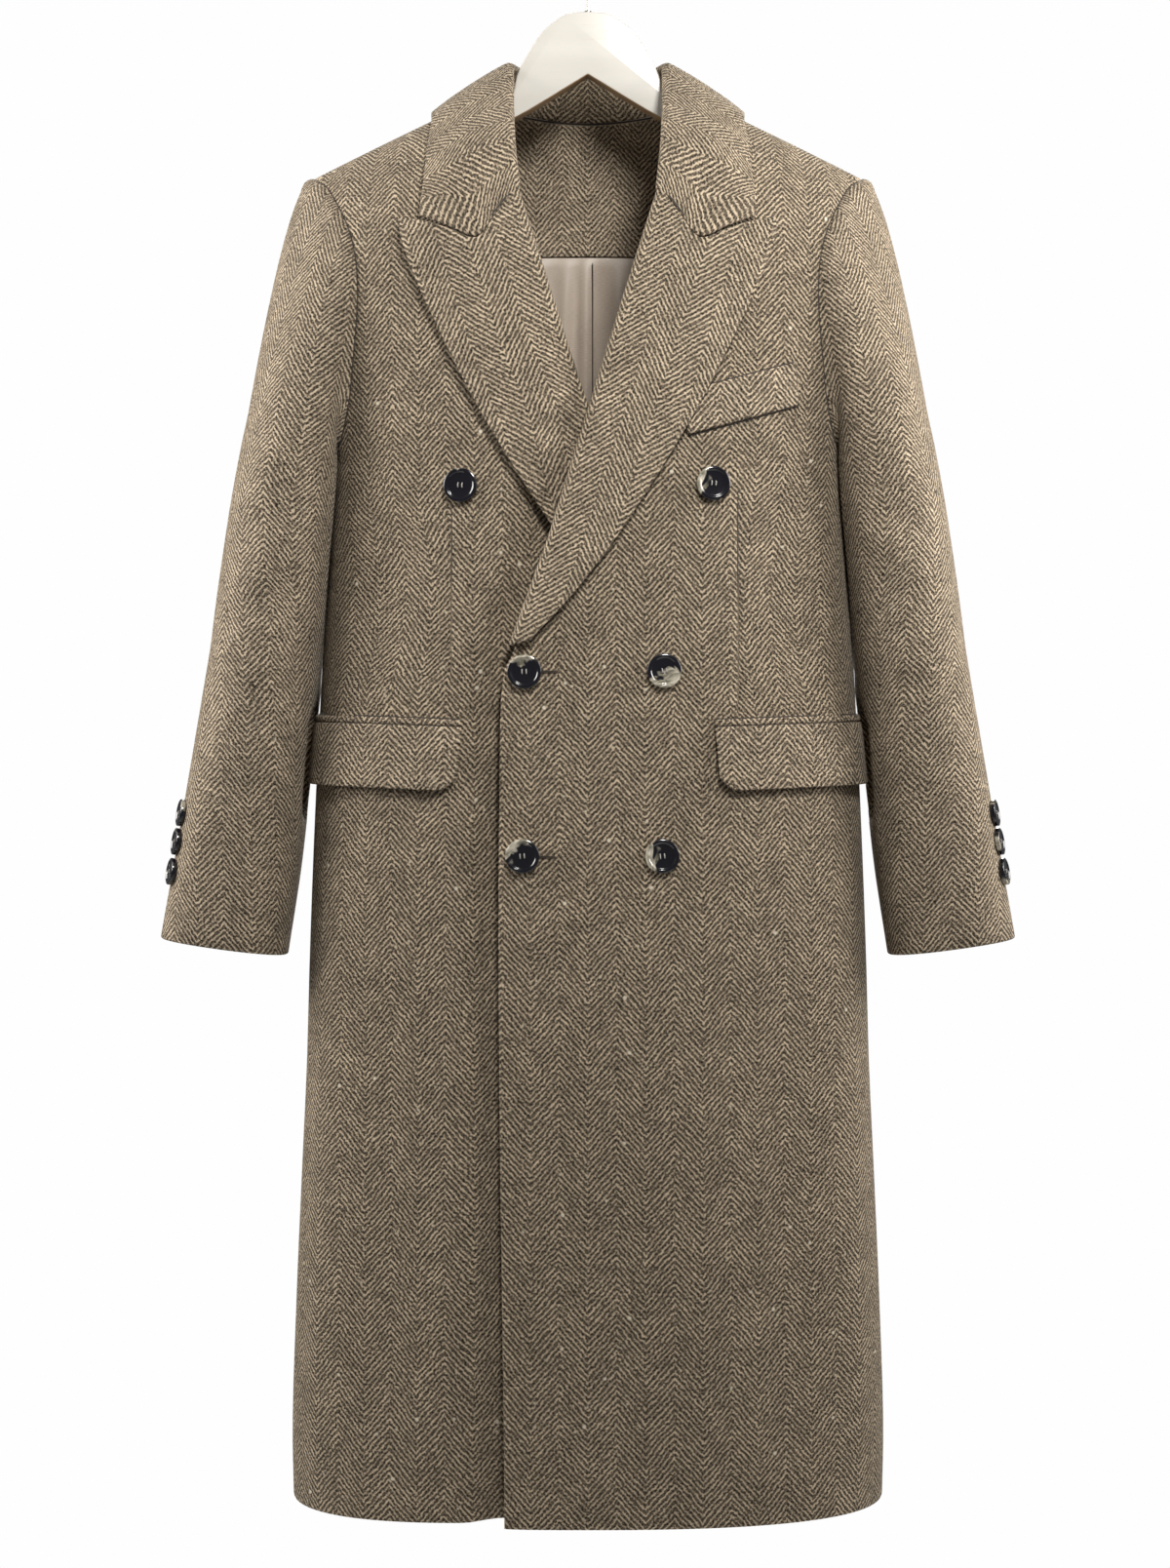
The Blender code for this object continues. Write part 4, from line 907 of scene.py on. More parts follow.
def armhole(face):
    table = ARMHOLE_FRONT if face == FRONT else ARMHOLE_BACK
    tip, first = on_ridge(SHOULDER_TIP), np.array([table[0][0], -table[0][1]]) / 1000
    rows = [tip, tip + (first - tip) * 0.12, tip + (first - tip) * 0.45]
    rows += [np.array([x, -down]) / 1000 for x, down in table]
    return np.array(rows)


def side_seam():
    z = -np.array(SIDE_ROWS) / 1000
    return np.stack([body_sizes(z)[0], z], axis=1)


def outer_edge_of(face):
    """The armhole and then the side seam, as the panels and the sleeves share them."""
    edge = refined(np.concatenate([armhole(face), side_seam()]), PANEL_FINENESS)
    below = len(armhole(face)) * PANEL_FINENESS - PANEL_FINENESS
    edge[below:, 0] = body_sizes(edge[below:, 1])[0]
    return edge


def fine_armhole(face):
    return outer_edge_of(face)[: (len(armhole(face)) - 1) * PANEL_FINENESS + 1]


def roll_spot(part, layer=OVER):
    px, py = ROLL_START + (ROLL_END - ROLL_START) * part
    low, last = ROLL_PARTS[-2:]
    shift = ROLL_SHIFT * (1 - 0.6 * np.clip((part - low) / (last - low), 0, 1))
    return spot(px + shift, py, layer, layer)


def front_inner_edge(layer):
    first = np.array(NECKLINE[0]) / 1000 * (1, -1)
    neck = on_ridge(NECK_HALF_WIDTH)
    rows = [neck, neck + (first - neck) * 0.3, first]
    rows += [np.array([x, -down]) / 1000 for x, down in NECKLINE[1:]]
    rows = [row * (layer, 1) for row in rows]
    rows += [roll_spot(part, layer) for part in ROLL_PARTS]
    rows += [spot(px, py, layer, layer) for px, py in FRONT_EDGE]
    rows = np.array(rows)
    rows[-1, 1] = -SIDE_ROWS[-1] / 1000
    return rows


def front_face(grid, layer):
    """The front's points and outward directions; its top row lies on the shoulder's ridge."""
    outer, normal = raised(FRONT, grid, 0, layer)
    outer[0, :, 1], normal[0] = 0, shoulder_normal(layer)
    return outer, normal


def plain_front(layer):
    """The plain panel's outer and inner points, which the collar and the lapel stand on."""
    outer_edge = np.concatenate([armhole(FRONT), side_seam()]) * (layer, 1)
    grid = []
    for start, end in zip(front_inner_edge(layer), outer_edge):
        grid.append(spread_row(FRONT, np.linspace(start, end, 41), 11, layer))
    outer, normal = front_face(np.array(grid), layer)
    return outer, outer - WALL * normal


def split_row(face, path, at_x, before, beyond, layer=OVER):
    """A row in two stretches with a groove's three columns between them, at this x."""
    keys = np.arange(len(path))
    way = np.sign(path[-1, 0] - path[0, 0])
    middle = np.interp(way * at_x, way * path[:, 0], keys)
    first, second = (
        np.stack([np.interp(np.linspace(start, end, 31), keys, path[:, k]) for k in (0, 1)], axis=1)
        for start, end in ((0, middle), (middle, keys[-1]))
    )
    z = first[-1, 1]
    first[-1, 0], second[0, 0] = at_x - way * GROOVE, at_x + way * GROOVE
    rows = (spread_row(face, first, before, layer), [(at_x, z)], spread_row(face, second, beyond, layer))
    return np.concatenate(rows)


def build_front(name, layer):
    inner_edge = refined(front_inner_edge(layer), PANEL_FINENESS)
    outer_edge = outer_edge_of(FRONT) * (layer, 1)
    dart_px, *dart_ends = DARTS[layer]
    dart_x = layer * in_metres(dart_px, 0, EYE_DISTANCE - DART_DEPTH)[0]
    top, foot = (in_metres(0, py, EYE_DISTANCE - FRONT_DEPTH)[1] for py in dart_ends)
    grid = []
    for start, end in zip(inner_edge, outer_edge):
        path = np.linspace(start, end, 61)
        grid.append(split_row(FRONT, path, dart_x, PANEL_COLUMNS, PANEL_COLUMNS, layer))
    grid = np.array(grid)
    if layer == UNDER:
        # its hem is lifted, most at the edge that lies hidden behind the other front
        share = np.clip((layer * grid[..., 0] + 0.25) / 0.5, 0, 1)
        low = smooth_step((-grid[..., 1] - 1.1) / 0.22)
        grid[..., 1] += UNDER_HEM_LIFT * low * smooth_step(1.6 - 1.6 * share)
    outer, normal = front_face(grid, layer)
    cloth = body_map(FRONT, grid)
    belly = np.clip((top - grid[..., 1]) / (top - foot), 0, 1)
    belly = np.sin(math.pi * belly) ** 0.5
    lift = fold_heights(layer * cloth[..., 0], cloth[..., 1], FRONT_FOLDS)
    lift = lift * (away_from(grid, 0, QUIET_FRONT_EDGE) * away_from(grid, -1, QUIET_SIDE))
    lift[:, PANEL_COLUMNS] -= GROOVE_DEPTH * belly[:, PANEL_COLUMNS]
    cloth[:, PANEL_COLUMNS + 1 :, 0] += layer * DART_INTAKE * (belly[:, PANEL_COLUMNS + 1 :] ** 2)
    cloth[:, PANEL_COLUMNS, 0] += layer * 0.5 * DART_INTAKE * belly[:, PANEL_COLUMNS] ** 2
    outer = outer + normal * lift[..., None]

    def lined(across, down):
        end = edge_of_over_front(down) + FACING_WIDTH if layer == OVER else FACING_UNDER
        return ((layer * across > end) & (down > LINING_END)).astype(int)

    beside_edge = 1 - smooth_step(np.linalg.norm(outer - outer[:, :1], axis=-1) / EDGE_REACH)
    half = (WALL + EDGE_THICKENING * beside_edge * (grid[..., 1] < spot(*ROLL_END)[1]))[..., None] / 2
    piece = wall(name, outer - normal * half, normal * half, cloth, wool, satin, lined, radius=0.002)
    place_piece(piece, "wool", name)
    return piece


front_left = build_front("front_left", OVER)
front_right = build_front("front_right", UNDER)
front_left.name, front_right.name = "front_left_panel", "front_right_panel"
declare_sheet(front_left, (0.62, 1.30))
declare_sheet(front_right, (0.62, 1.30))

# %% [markdown]
# ## The back
# The back is cut in two halves with a seam down the middle, which shows as a groove. It is made as one sheet
# with the groove in it, because the halves meet without a gap all the way down.

# %% The back
BACK_MIDDLE_ROWS = (151, 156, 165, 180, 215, 250, 285, 320, 355, 395, 430, 460)
BACK_NECK_DROP = 0.151
BACK_STEPS = 81
BACK_SEAM_INTAKE = 0.006
BACK_FOLDS = (
    (-170, -300, -120, -520, 30, 2.3),
    (150, -280, 110, -560, 34, -2.5),
    (60, -380, 85, -640, 30, 2.1),
    (-70, -700, -95, -1310, 46, 3.4),
    (-180, -760, -200, -1310, 40, -3.2),
    (95, -740, 120, -1310, 44, -3.0),
    (200, -800, 215, -1310, 40, 3.2),
    (20, -900, 15, -1310, 36, 2.3),
    (-250, -560, -262, -900, 30, 1.8),
    (262, -520, 255, -860, 28, -1.7),
)


def back_top_path(share):
    x = share * SHOULDER_TIP
    neck = np.clip(np.abs(x) / NECK_HALF_WIDTH, 0, 1) ** 2
    low = -BACK_NECK_DROP + (ridge(NECK_HALF_WIDTH) + BACK_NECK_DROP) * neck
    return np.stack([x, np.where(np.abs(x) < NECK_HALF_WIDTH, low, ridge(x))], axis=-1)


def back_row(path_z, outer_xz, number, top):
    share = np.linspace(-1, 1, BACK_STEPS)
    x, z = outer_xz
    drop_middle = path_z - top[BACK_STEPS // 2, 1]
    drop_outer = z - top[-1, 1]
    shaped = top[:, 1] + drop_middle + (drop_outer - drop_middle) * share**2
    level = path_z + (z - path_z) * share**2
    keep = 1 - smooth_step((number - 3) / 7)
    return np.stack([share * x, level + (shaped - level) * keep], axis=1)


def plain_back_neck():
    """The plain back's outer and inner points round the neck, and the points below them."""
    shoulder_part = NECK_HALF_WIDTH / SHOULDER_TIP
    neck = spread_row(BACK, back_top_path(np.linspace(-shoulder_part, shoulder_part, 61)), 9)
    top = back_top_path(np.linspace(-1, 1, BACK_STEPS))
    edge = armhole(BACK)
    below = spread_row(BACK, back_row(-BACK_MIDDLE_ROWS[1] / 1000, edge[1], 1, top), 19)[5:14]
    outer, normal = raised(BACK, neck)
    outer[[0, -1], 1] = 0
    normal[0], normal[-1] = shoulder_normal(-1), shoulder_normal(1)
    return outer, outer - WALL * normal, body_points(BACK, below)


def build_back():
    outer_edge = np.concatenate([armhole(BACK), side_seam()])
    middle = [-down / 1000 for down in BACK_MIDDLE_ROWS]
    middle += [row[1] for row in outer_edge[len(BACK_MIDDLE_ROWS) :]]
    top = back_top_path(np.linspace(-1, 1, BACK_STEPS))
    rows = []
    for number, (z, edge) in enumerate(zip(middle, outer_edge)):
        rows.append(top if number == 0 else back_row(z, edge, number, top))
    grid = []
    for path, end in zip(refined(rows, PANEL_FINENESS), outer_edge_of(BACK)):
        path[:, 0] *= end[0] / path[-1, 0]
        path[[0, -1], 1] = end[1]
        grid.append(split_row(BACK, path, 0.0, 2 * PANEL_COLUMNS, 2 * PANEL_COLUMNS))
    grid = np.array(grid)
    outer, normal = raised(BACK, grid)
    on_shoulder = np.abs(grid[0, :, 0]) >= NECK_HALF_WIDTH - 1e-6
    outer[0, on_shoulder, 1] = 0
    for column in np.flatnonzero(on_shoulder):
        normal[0, column] = shoulder_normal(np.sign(grid[0, column, 0]))
    cloth = body_map(BACK, grid)
    seam = 2 * PANEL_COLUMNS
    cloth[:, :seam, 0] -= BACK_SEAM_INTAKE
    cloth[:, seam + 1 :, 0] += BACK_SEAM_INTAKE
    lift = fold_heights(cloth[..., 0], cloth[..., 1], BACK_FOLDS)
    lift *= away_from(grid, 0, QUIET_SIDE)
    lift *= away_from(grid, -1, QUIET_SIDE)
    lift[:, seam] -= GROOVE_DEPTH
    outer = outer + normal * lift[..., None]

    def lined(across, down):
        return (down > LINING_END).astype(int)

    half = normal * WALL / 2
    piece = wall("back_panel", outer - half, half, cloth, wool, satin, lined)
    place_piece(piece, "wool", "back")
    return piece


back_panel = build_back()
declare_sheet(back_panel, (0.62, 1.25))

# %% [markdown]
# ## The sleeves
# A tailored sleeve has a wide top piece and a narrow under piece, with two seams. Its rings run from the
# armhole to the cuff and turn forward a little on the way. The head is eased into the armhole, so it rises
# in a soft rope beside the seam. Shallow slanting folds lie on the inside of the elbow.

# %% The sleeves
# mm below the hook, middle x, middle y, half width, half depth, tilt: the sleeve's rings
SLEEVE_RINGS = (
    (505, 254, -6, 46, 80, 0.14),
    (610, 269, -9, 47, 72, 0.14),
    (700, 282, -12, 49, 64, 0.14),
    (790, 294, -16, 52, 55, 0.14),
    (866, 306, -20, 53, 47, 0.14),
)
SLEEVE_TWIST = 0.2
HEAD_TWIST = 0.25
ARM_RADIUS = 0.066
ARM_ROWS = 36
ARM_LEAN, ARM_BEND = 0.142, 0.038
HIND_SEAM = 0.86
FOREARM_SEAM = 0.36
SLEEVE_HEAD_SWELL = 0.020
FLAP_CLEARANCE = 0.011
FLAP_ZONE, FLAP_ZONE_FADE = (-0.775, -0.655), 0.03
ARMPIT_GAP, ARMPIT_TOP = 0.003, -0.38
HEAD_ROPE, HEAD_ROPE_AT, HEAD_ROPE_WIDTH = 0.0016, 0.009, 0.006
HEAD_ROWS = 22

# degrees round from the outside towards the front, mm below the hook, to the same, width mm, height mm
SLEEVE_FOLDS = (
    (70, 300, 95, 430, 16, -2.1),
    (120, 470, 60, 540, 13, -2.7),
    (130, 500, 75, 575, 11, 2.2),
    (115, 560, 50, 610, 12, -2.5),
    (125, 600, 70, 660, 12, 2.1),
    (100, 640, 40, 690, 14, -1.8),
    (20, 420, 15, 620, 22, 1.8),
    (60, 720, 50, 850, 20, 2.0),
    (200, 500, 260, 560, 14, -3.0),
    (210, 560, 275, 640, 13, 2.7),
    (300, 380, 290, 620, 24, -2.4),
    (330, 640, 320, 840, 22, 2.1),
)


def ring_share(shares, wide, deep):
    """x and y on a rounded ring at these shares of its length: outside, front, inside, back."""
    angle = np.linspace(0, 2 * math.pi, 481)
    x = wide * np.sign(np.cos(angle)) * np.abs(np.cos(angle)) ** 0.9
    y = -deep * np.sign(np.sin(angle)) * np.abs(np.sin(angle)) ** 0.9
    reach = reach_of(np.stack([x, y], axis=1))
    reach /= reach[-1]
    shares = np.mod(shares, 1.0)
    return np.interp(shares, reach, x), np.interp(shares, reach, y)


def sleeve_ring(down, shares, side):
    sizes = smooth_read(SLEEVE_RINGS, down * 1000)
    middle_x, middle_y, wide, deep = sizes[:4] / 1000
    x, y = ring_share(shares, wide, deep)
    z = -down + sizes[4] * x
    return np.stack([side * (middle_x + x), middle_y + y, z], axis=-1)


def kept_off_body(points, side, gap):
    """Pushes a sleeve's points outward until they clear the body's side and the pocket flap."""
    x, y, z = np.moveaxis(points, -1, 0)
    wide, front, back = body_sizes(z)
    share = np.clip(np.abs(y) / np.where(y < 0, front, back), 0, 1)
    limit = wide * (1 - share**SIDE_ROUNDNESS) ** (1 / SIDE_ROUNDNESS)
    in_zone = np.minimum(z - FLAP_ZONE[0], FLAP_ZONE[1] - z)
    beside_flap = smooth_step(in_zone / FLAP_ZONE_FADE) * smooth_step((0.012 - y) / 0.02)
    limit = limit + gap + FLAP_CLEARANCE * beside_flap
    push = np.maximum(limit - side * x, 0) * smooth_step((ARMPIT_TOP - z) / 0.08)
    return np.stack([x + side * push, y, z], axis=-1)


def ring_normals(tube):
    ring = tube[:, :-1]
    around = np.roll(ring, -1, axis=1) - np.roll(ring, 1, axis=1)
    normal = unit(np.cross(around, np.gradient(ring, axis=0)))
    if np.sum(normal * (ring - ring.mean(axis=1, keepdims=True))) < 0:
        normal = -normal
    return np.concatenate([normal, normal[:, :1]], axis=1)


def sleeve_map(tube, normal, side):
    """u round the arm and v down it; over the head both are added up along each column, up to the armhole."""
    axis = unit([-side * ARM_LEAN, ARM_BEND, 0.989])
    up = unit(axis - (normal @ axis)[..., None] * normal)
    round_arm = np.cross(up, normal)
    if np.sum(round_arm[HEAD_ROWS:, :-1] * np.diff(tube, axis=1)[HEAD_ROWS:]) < 0:
        round_arm = -round_arm
    u = reach_of(tube, axis=1)
    v = np.concatenate([np.zeros((HEAD_ROWS - 1, tube.shape[1])), -reach_of(tube[HEAD_ROWS - 1 :])])
    total = u[:, -1:].copy()
    total[:HEAD_ROWS] = total[HEAD_ROWS - 1]
    for row in range(HEAD_ROWS - 2, -1, -1):
        step = tube[row] - tube[row + 1]
        u[row] = u[row + 1] + np.sum(step * (round_arm[row] + round_arm[row + 1]) / 2, axis=1)
        v[row] = v[row + 1] + np.sum(step * (up[row] + up[row + 1]) / 2, axis=1)
    return u, v, total


def build_sleeve(side, label):
    front, back = fine_armhole(FRONT) * (side, 1), fine_armhole(BACK) * (side, 1)
    loop = np.concatenate([body_points(FRONT, front), body_points(BACK, back)[-2::-1]])
    loop[0, 1] = loop[-1, 1] = 0
    count = len(front)
    loop[count - 1, 1] = 0
    lean = np.concatenate([body_normals(FRONT, front), body_normals(BACK, back)[-2::-1]])
    lean[0] = lean[-1] = shoulder_normal(side)
    reach = reach_of(loop)
    middle = reach[count - 1]
    hind_half = 0.5 + 0.5 * (reach - middle) / (reach[-1] - middle)
    shares = np.where(reach <= middle, 0.5 * reach / middle, hind_half)
    first_down, last_down = SLEEVE_RINGS[0][0] / 1000, SLEEVE_RINGS[-1][0] / 1000
    end = sleeve_ring(first_down, shares + SLEEVE_TWIST * HEAD_TWIST, side)
    gap = np.linalg.norm(end - loop, axis=1)
    # the ways in which the cloth leaves the armhole and reaches the first ring
    leave = unit(lean * 0.6 + np.array([side * 0.8, 0, -0.35]))
    arrive = unit([-side * 0.16, 0.03, 0.985])
    first = loop + leave * np.minimum(SLEEVE_HEAD_SWELL, gap * 0.4)[:, None]
    second = end + arrive * (gap * 0.5)[:, None]
    rows, downs = [], []
    for part in np.linspace(0, 1, HEAD_ROWS) ** 1.35:
        rest = 1 - part
        rows.append(rest**3 * loop + 3 * rest**2 * part * first + 3 * rest * part**2 * second + part**3 * end)
        downs.append(-rows[-1][:, 2])
    down_arm = np.linspace(0, 1, ARM_ROWS + 1)[1:]
    for part in down_arm:
        down = first_down + (last_down - first_down) * part
        rows.append(sleeve_ring(down, shares + SLEEVE_TWIST * (HEAD_TWIST + (1 - HEAD_TWIST) * part), side))
        downs.append(np.full(len(loop), down))
    tube, downs = np.array(rows), np.array(downs)
    normal = ring_normals(tube)
    lengths = reach_of(tube)
    twist = np.concatenate([np.full(HEAD_ROWS, HEAD_TWIST), HEAD_TWIST + (1 - HEAD_TWIST) * down_arm])
    turn = shares + SLEEVE_TWIST * twist[:, None]
    round_arm = ARM_RADIUS * 2 * math.pi * np.mod(turn, 1.0)
    lift = np.zeros(downs.shape)
    for a1, d1, a2, d2, width, height in SLEEVE_FOLDS:
        from_mm, to_mm = (ARM_RADIUS * math.radians(degrees) * 1000 for degrees in (a1, a2))
        lift += fold_heights(round_arm, downs, [(from_mm, d1, to_mm, d2, width, height)])
    # the rope of eased cloth lies only over the upper part of the armhole
    near_top = smooth_step((np.abs(shares - 0.5) - 0.22) / 0.12)
    rope = np.exp(-(((lengths - HEAD_ROPE_AT) / HEAD_ROPE_WIDTH) ** 2)) * near_top
    lift = lift * smooth_step(lengths / 0.03) + HEAD_ROPE * rope
    tube = tube + normal * lift[..., None]
    tube[1:] = kept_off_body(tube[1:], side, ARMPIT_GAP)
    normal = ring_normals(tube)
    seam = smooth_step((np.abs(shares - 0.5) - 0.04) / 0.10)[:, None]
    normal[0] = unit(normal[0] * (1 - seam) + lean * seam)
    across, height, total = sleeve_map(tube, normal, side)
    hind = int(np.argmin(np.abs(shares - HIND_SEAM)))
    fore = int(np.argmin(np.abs(shares - FOREARM_SEAM)))
    top = np.r_[hind : len(shares) - 1, 0 : fore + 1]
    under = np.r_[fore : hind + 1]
    pieces = []
    for part, columns in (("top", top), ("under", under)):
        u = across[:, columns].copy()
        if part == "top":
            u[:, : len(shares) - 1 - hind] -= total
        cloth = np.stack([side * u, height[:, columns]], axis=-1)
        outer, half = tube[:, columns], normal[:, columns] * WALL / 2
        piece = wall(f"sleeve_{part}_{label}_cloth", outer - half, half, cloth, wool_sleeve_painted_light, satin)
        place_piece(piece, "wool", f"sleeve_{part}_{label}")
        pieces.append(piece)
    return pieces


for side, label in ((1, "left"), (-1, "right")):
    top_piece, under_piece = build_sleeve(side, label)
    declare_sheet(top_piece, (0.30, 0.72))
    declare_sheet(under_piece, (0.26, 0.60))

# %% [markdown]
# ## The lapels
# Lapel and collar are cloth that stands up from a panel's edge, rolls over, and falls back on the coat. The
# short plain net of points is worked out from the plain front and the picture, and a smooth curve through it
# gives the soft roll. The lapel's weave runs with the roll line. Its outline is read from the picture, peak
# and all.

# %% The lapels
LAPEL_WALL = 0.003
LAPEL_EDGE = (
    (796, 226),
    (797, 238),
    (790, 262),
    (773, 303),
    (756, 338),
    (732, 388),
    (706, 435),
    (680, 478),
    (661, 508),
    (645, 533),
    (623, 564),
    (603.5, 592),
    (582, 616),
    (560, 640),
    (538, 662),
)
NOTCH = (716.7, 245.0)
COLLAR_POINT = (775.6, 222.7)
LAPEL_ROWS = (0, 0.03, 0.08, 0.16, 0.23, 0.30, 0.375, 0.45, 0.525, 0.60, 0.64, 0.70, 0.75, 0.87, 0.985)
LAPEL_RIGHT_END = 0.75
LAPEL_FINENESS = (6, 5)
LAPEL_CREST = 4 * LAPEL_FINENESS[1]
LAPEL_SHARES = (0.2, 0.4, 0.6, 0.8, 1)
LAPEL_LIFTS = (0.0105, 0.011, 0.011, 0.0105, 0.0095)
PEAK_ROW = ((698, 223), (716.7, 246), (743, 237.5), (769, 229.5), (795, 225))
PEAK_PART = 0.25
# degrees round the roll
TURN = (-90, -45, 0, 45, 90)


def fold_round(centre, toward_neck, outward):
    seen, hidden = [], []
    for angle in np.radians(TURN):
        way = math.cos(angle) * toward_neck + math.sin(angle) * outward
        seen.append(centre + FOLD_RADIUS * way)
        hidden.append(centre + (FOLD_RADIUS - LAPEL_WALL) * way)
    return seen, hidden


def lapel_edge(part):
    edge = np.array(LAPEL_EDGE, float)
    reach = reach_of(edge)
    return np.array([np.interp(part * reach[-1], reach, edge[:, k]) for k in (0, 1)])


def laid(px, py, lift, layer):
    x, z = spot(px, py, layer, layer)
    return np.array([x, depth_at(FRONT, x, z, layer) - lift, z])


def lapel_row(part, layer, panel):
    outer, inner = panel
    rows = slice(NECK_ROWS, NECK_ROWS + len(ROLL_PARTS))
    edge, beside, deep = (
        np.array([np.interp(part, ROLL_PARTS, points[:, k]) for k in range(3)])
        for points in (outer[rows, 0], outer[rows, 1], inner[rows, 0])
    )
    outward, toward_neck = unit(edge - deep), unit(edge - beside)
    centre = edge + SEAM_GAP * toward_neck + (FOLD_RADIUS - LAPEL_WALL) * outward
    seen, hidden = fold_round(centre, toward_neck, outward)
    start = ROLL_START + (ROLL_END - ROLL_START) * part + (ROLL_SHIFT, 0)
    end = lapel_edge(part)
    top_end, top_start = lapel_edge(0), ROLL_START + (ROLL_SHIFT, 0)
    # the rows near the top turn from straight ones to the peak's own
    bend = np.clip(1 - part / PEAK_PART, 0, 1) ** 1.5
    for share, peak, lift in zip(LAPEL_SHARES, PEAK_ROW, LAPEL_LIFTS):
        straight = start + (end - start) * share
        px, py = straight + (np.array(peak) - (top_start + (top_end - top_start) * share)) * bend
        seen.append(laid(px, py, lift, layer))
        hidden.append(laid(px, py, lift - LAPEL_WALL, layer))
    return np.array(seen), np.array(hidden)


def build_lapel(name, layer, last, panel):
    rows = [lapel_row(part, layer, panel) for part in LAPEL_ROWS if part <= last]
    seen, hidden = (refined_grid(np.array(points), *LAPEL_FINENESS) for points in zip(*rows))
    down = unit((ROLL_END - ROLL_START) * (layer, -1))
    over = np.array([-down[1], down[0]]) * layer
    flat = seen[..., (0, 2)]
    origin = flat[:, LAPEL_CREST]
    across = (flat * over).sum(-1) - (origin * over).sum(-1)[:, None]
    reach = reach_of(seen, axis=1)
    reach = reach - reach[:, [LAPEL_CREST]]
    across = np.where(np.arange(flat.shape[1]) < LAPEL_CREST, reach, np.abs(across))
    cloth = np.stack([layer * across, -(flat * down).sum(-1)], axis=-1)
    piece = wall(name + "_cloth", (seen + hidden) / 2, (seen - hidden) / 2, cloth, wool_turned_painted_light)
    place_piece(piece, "wool", name)
    return piece


plain_fronts = {OVER: plain_front(OVER), UNDER: plain_front(UNDER)}
lapel_left = build_lapel("lapel_left", OVER, 1.0, plain_fronts[OVER])
lapel_right = build_lapel("lapel_right", UNDER, LAPEL_RIGHT_END, plain_fronts[UNDER])
declare_sheet(lapel_left, (0.17, 0.42))
declare_sheet(lapel_right, (0.17, 0.32))

# %% [markdown]
# ## The collar
# The collar is one sheet from gorge to gorge. Its table says where it rolls and where its edge falls, by the
# length along the neck seam. Its weave runs from the roll to the outer edge. It rises a little in the
# middle, where the hanger's arch would show a gap.

# %% The collar
# mm along the neck seam, roll x y z, edge x y z, swell, and the way that it swells
COLLAR_STATIONS = (
    (0, 0, 62, -113, 0, 80, -172, 7, 0, 0.94, 0.34),
    (53, 40, 48, -113, 62, 69, -171, 8, 0.35, 0.8, 0.45),
    (80, 55, 27, -114, 104, 39, -158, 4, 0.5, 0.45, 0.75),
    (107, 63, 1, -118, 130, 0, -159, 2, 0.55, 0, 0.83),
    (140, 63, -26, -140, 131, -39, -176, 4, 0.45, -0.45, 0.75),
    (175, 62, -54, -170, 133, -63, -204, 5, 0.35, -0.75, 0.55),
    (210, 59.5, -82, -205, 135, -82, -238, 5, 0.2, -0.95, 0.25),
    (246, 54.5, -95, -247, 137, -90, -269, 3, 0, -1, 0),
)
COLLAR_RISE, COLLAR_RISE_REACH = 0.0034, 0.055
COLLAR_FINENESS = (5, 4)
COLLAR_SHARES = (0.22, 0.45, 0.72, 1)
COLLAR_END_LIFTS = (0.0105, 0.011, 0.0105, 0.0095)


def collar_end_row(edge_out, edge_in, toward_neck, outward, side):
    seen, hidden = [edge_in + SEAM_GAP * toward_neck], [edge_out + SEAM_GAP * toward_neck]
    centre = edge_out + 0.0012 * toward_neck + (FOLD_RADIUS - LAPEL_WALL) * outward
    turned = fold_round(centre, toward_neck, outward)
    seen += [0.5 * (seen[0] + turned[0][0])] + turned[0]
    hidden += [0.5 * (hidden[0] + turned[1][0])] + turned[1]
    start = ROLL_START + (ROLL_SHIFT, 0)
    notch, point = np.array(NOTCH), np.array(COLLAR_POINT)
    row = (0.5 * (start + notch), notch, 0.5 * (notch + point), point)
    for (px, py), lift in zip(row, COLLAR_END_LIFTS):
        seen.append(laid(px, py, lift, side))
        hidden.append(laid(px, py, lift - LAPEL_WALL, side))
    return seen, hidden


def collar_row(reach, edge_out, edge_in, toward_neck, side):
    values = smooth_read(COLLAR_STATIONS, reach) * 0.001
    flip = np.array([side, 1, 1])
    roll, rim = values[0:3] * flip, values[3:6] * flip
    swell, swell_way = values[6], unit(values[7:10] * flip)
    base = 0.5 * (edge_out + edge_in) + SEAM_GAP * toward_neck
    fall = unit(rim - roll + 2 * swell * swell_way)
    crown = unit(unit(roll - base) - fall)
    outward = unit(fall - np.dot(fall, crown) * crown)
    turned = fold_round(roll - FOLD_RADIUS * crown, crown, outward)
    seen, hidden = [edge_in + SEAM_GAP * toward_neck], [edge_out + SEAM_GAP * toward_neck]
    seen += [0.5 * (seen[0] + turned[0][0])] + turned[0]
    hidden += [0.5 * (hidden[0] + turned[1][0])] + turned[1]
    start = turned[0][-1]
    for share in COLLAR_SHARES:
        point = start + (rim - start) * share + 4 * swell * share * (1 - share) * swell_way
        way = unit(outward + (swell_way - outward) * min(1, 3 * share))
        seen.append(point)
        hidden.append(point - LAPEL_WALL * way)
    return seen, hidden


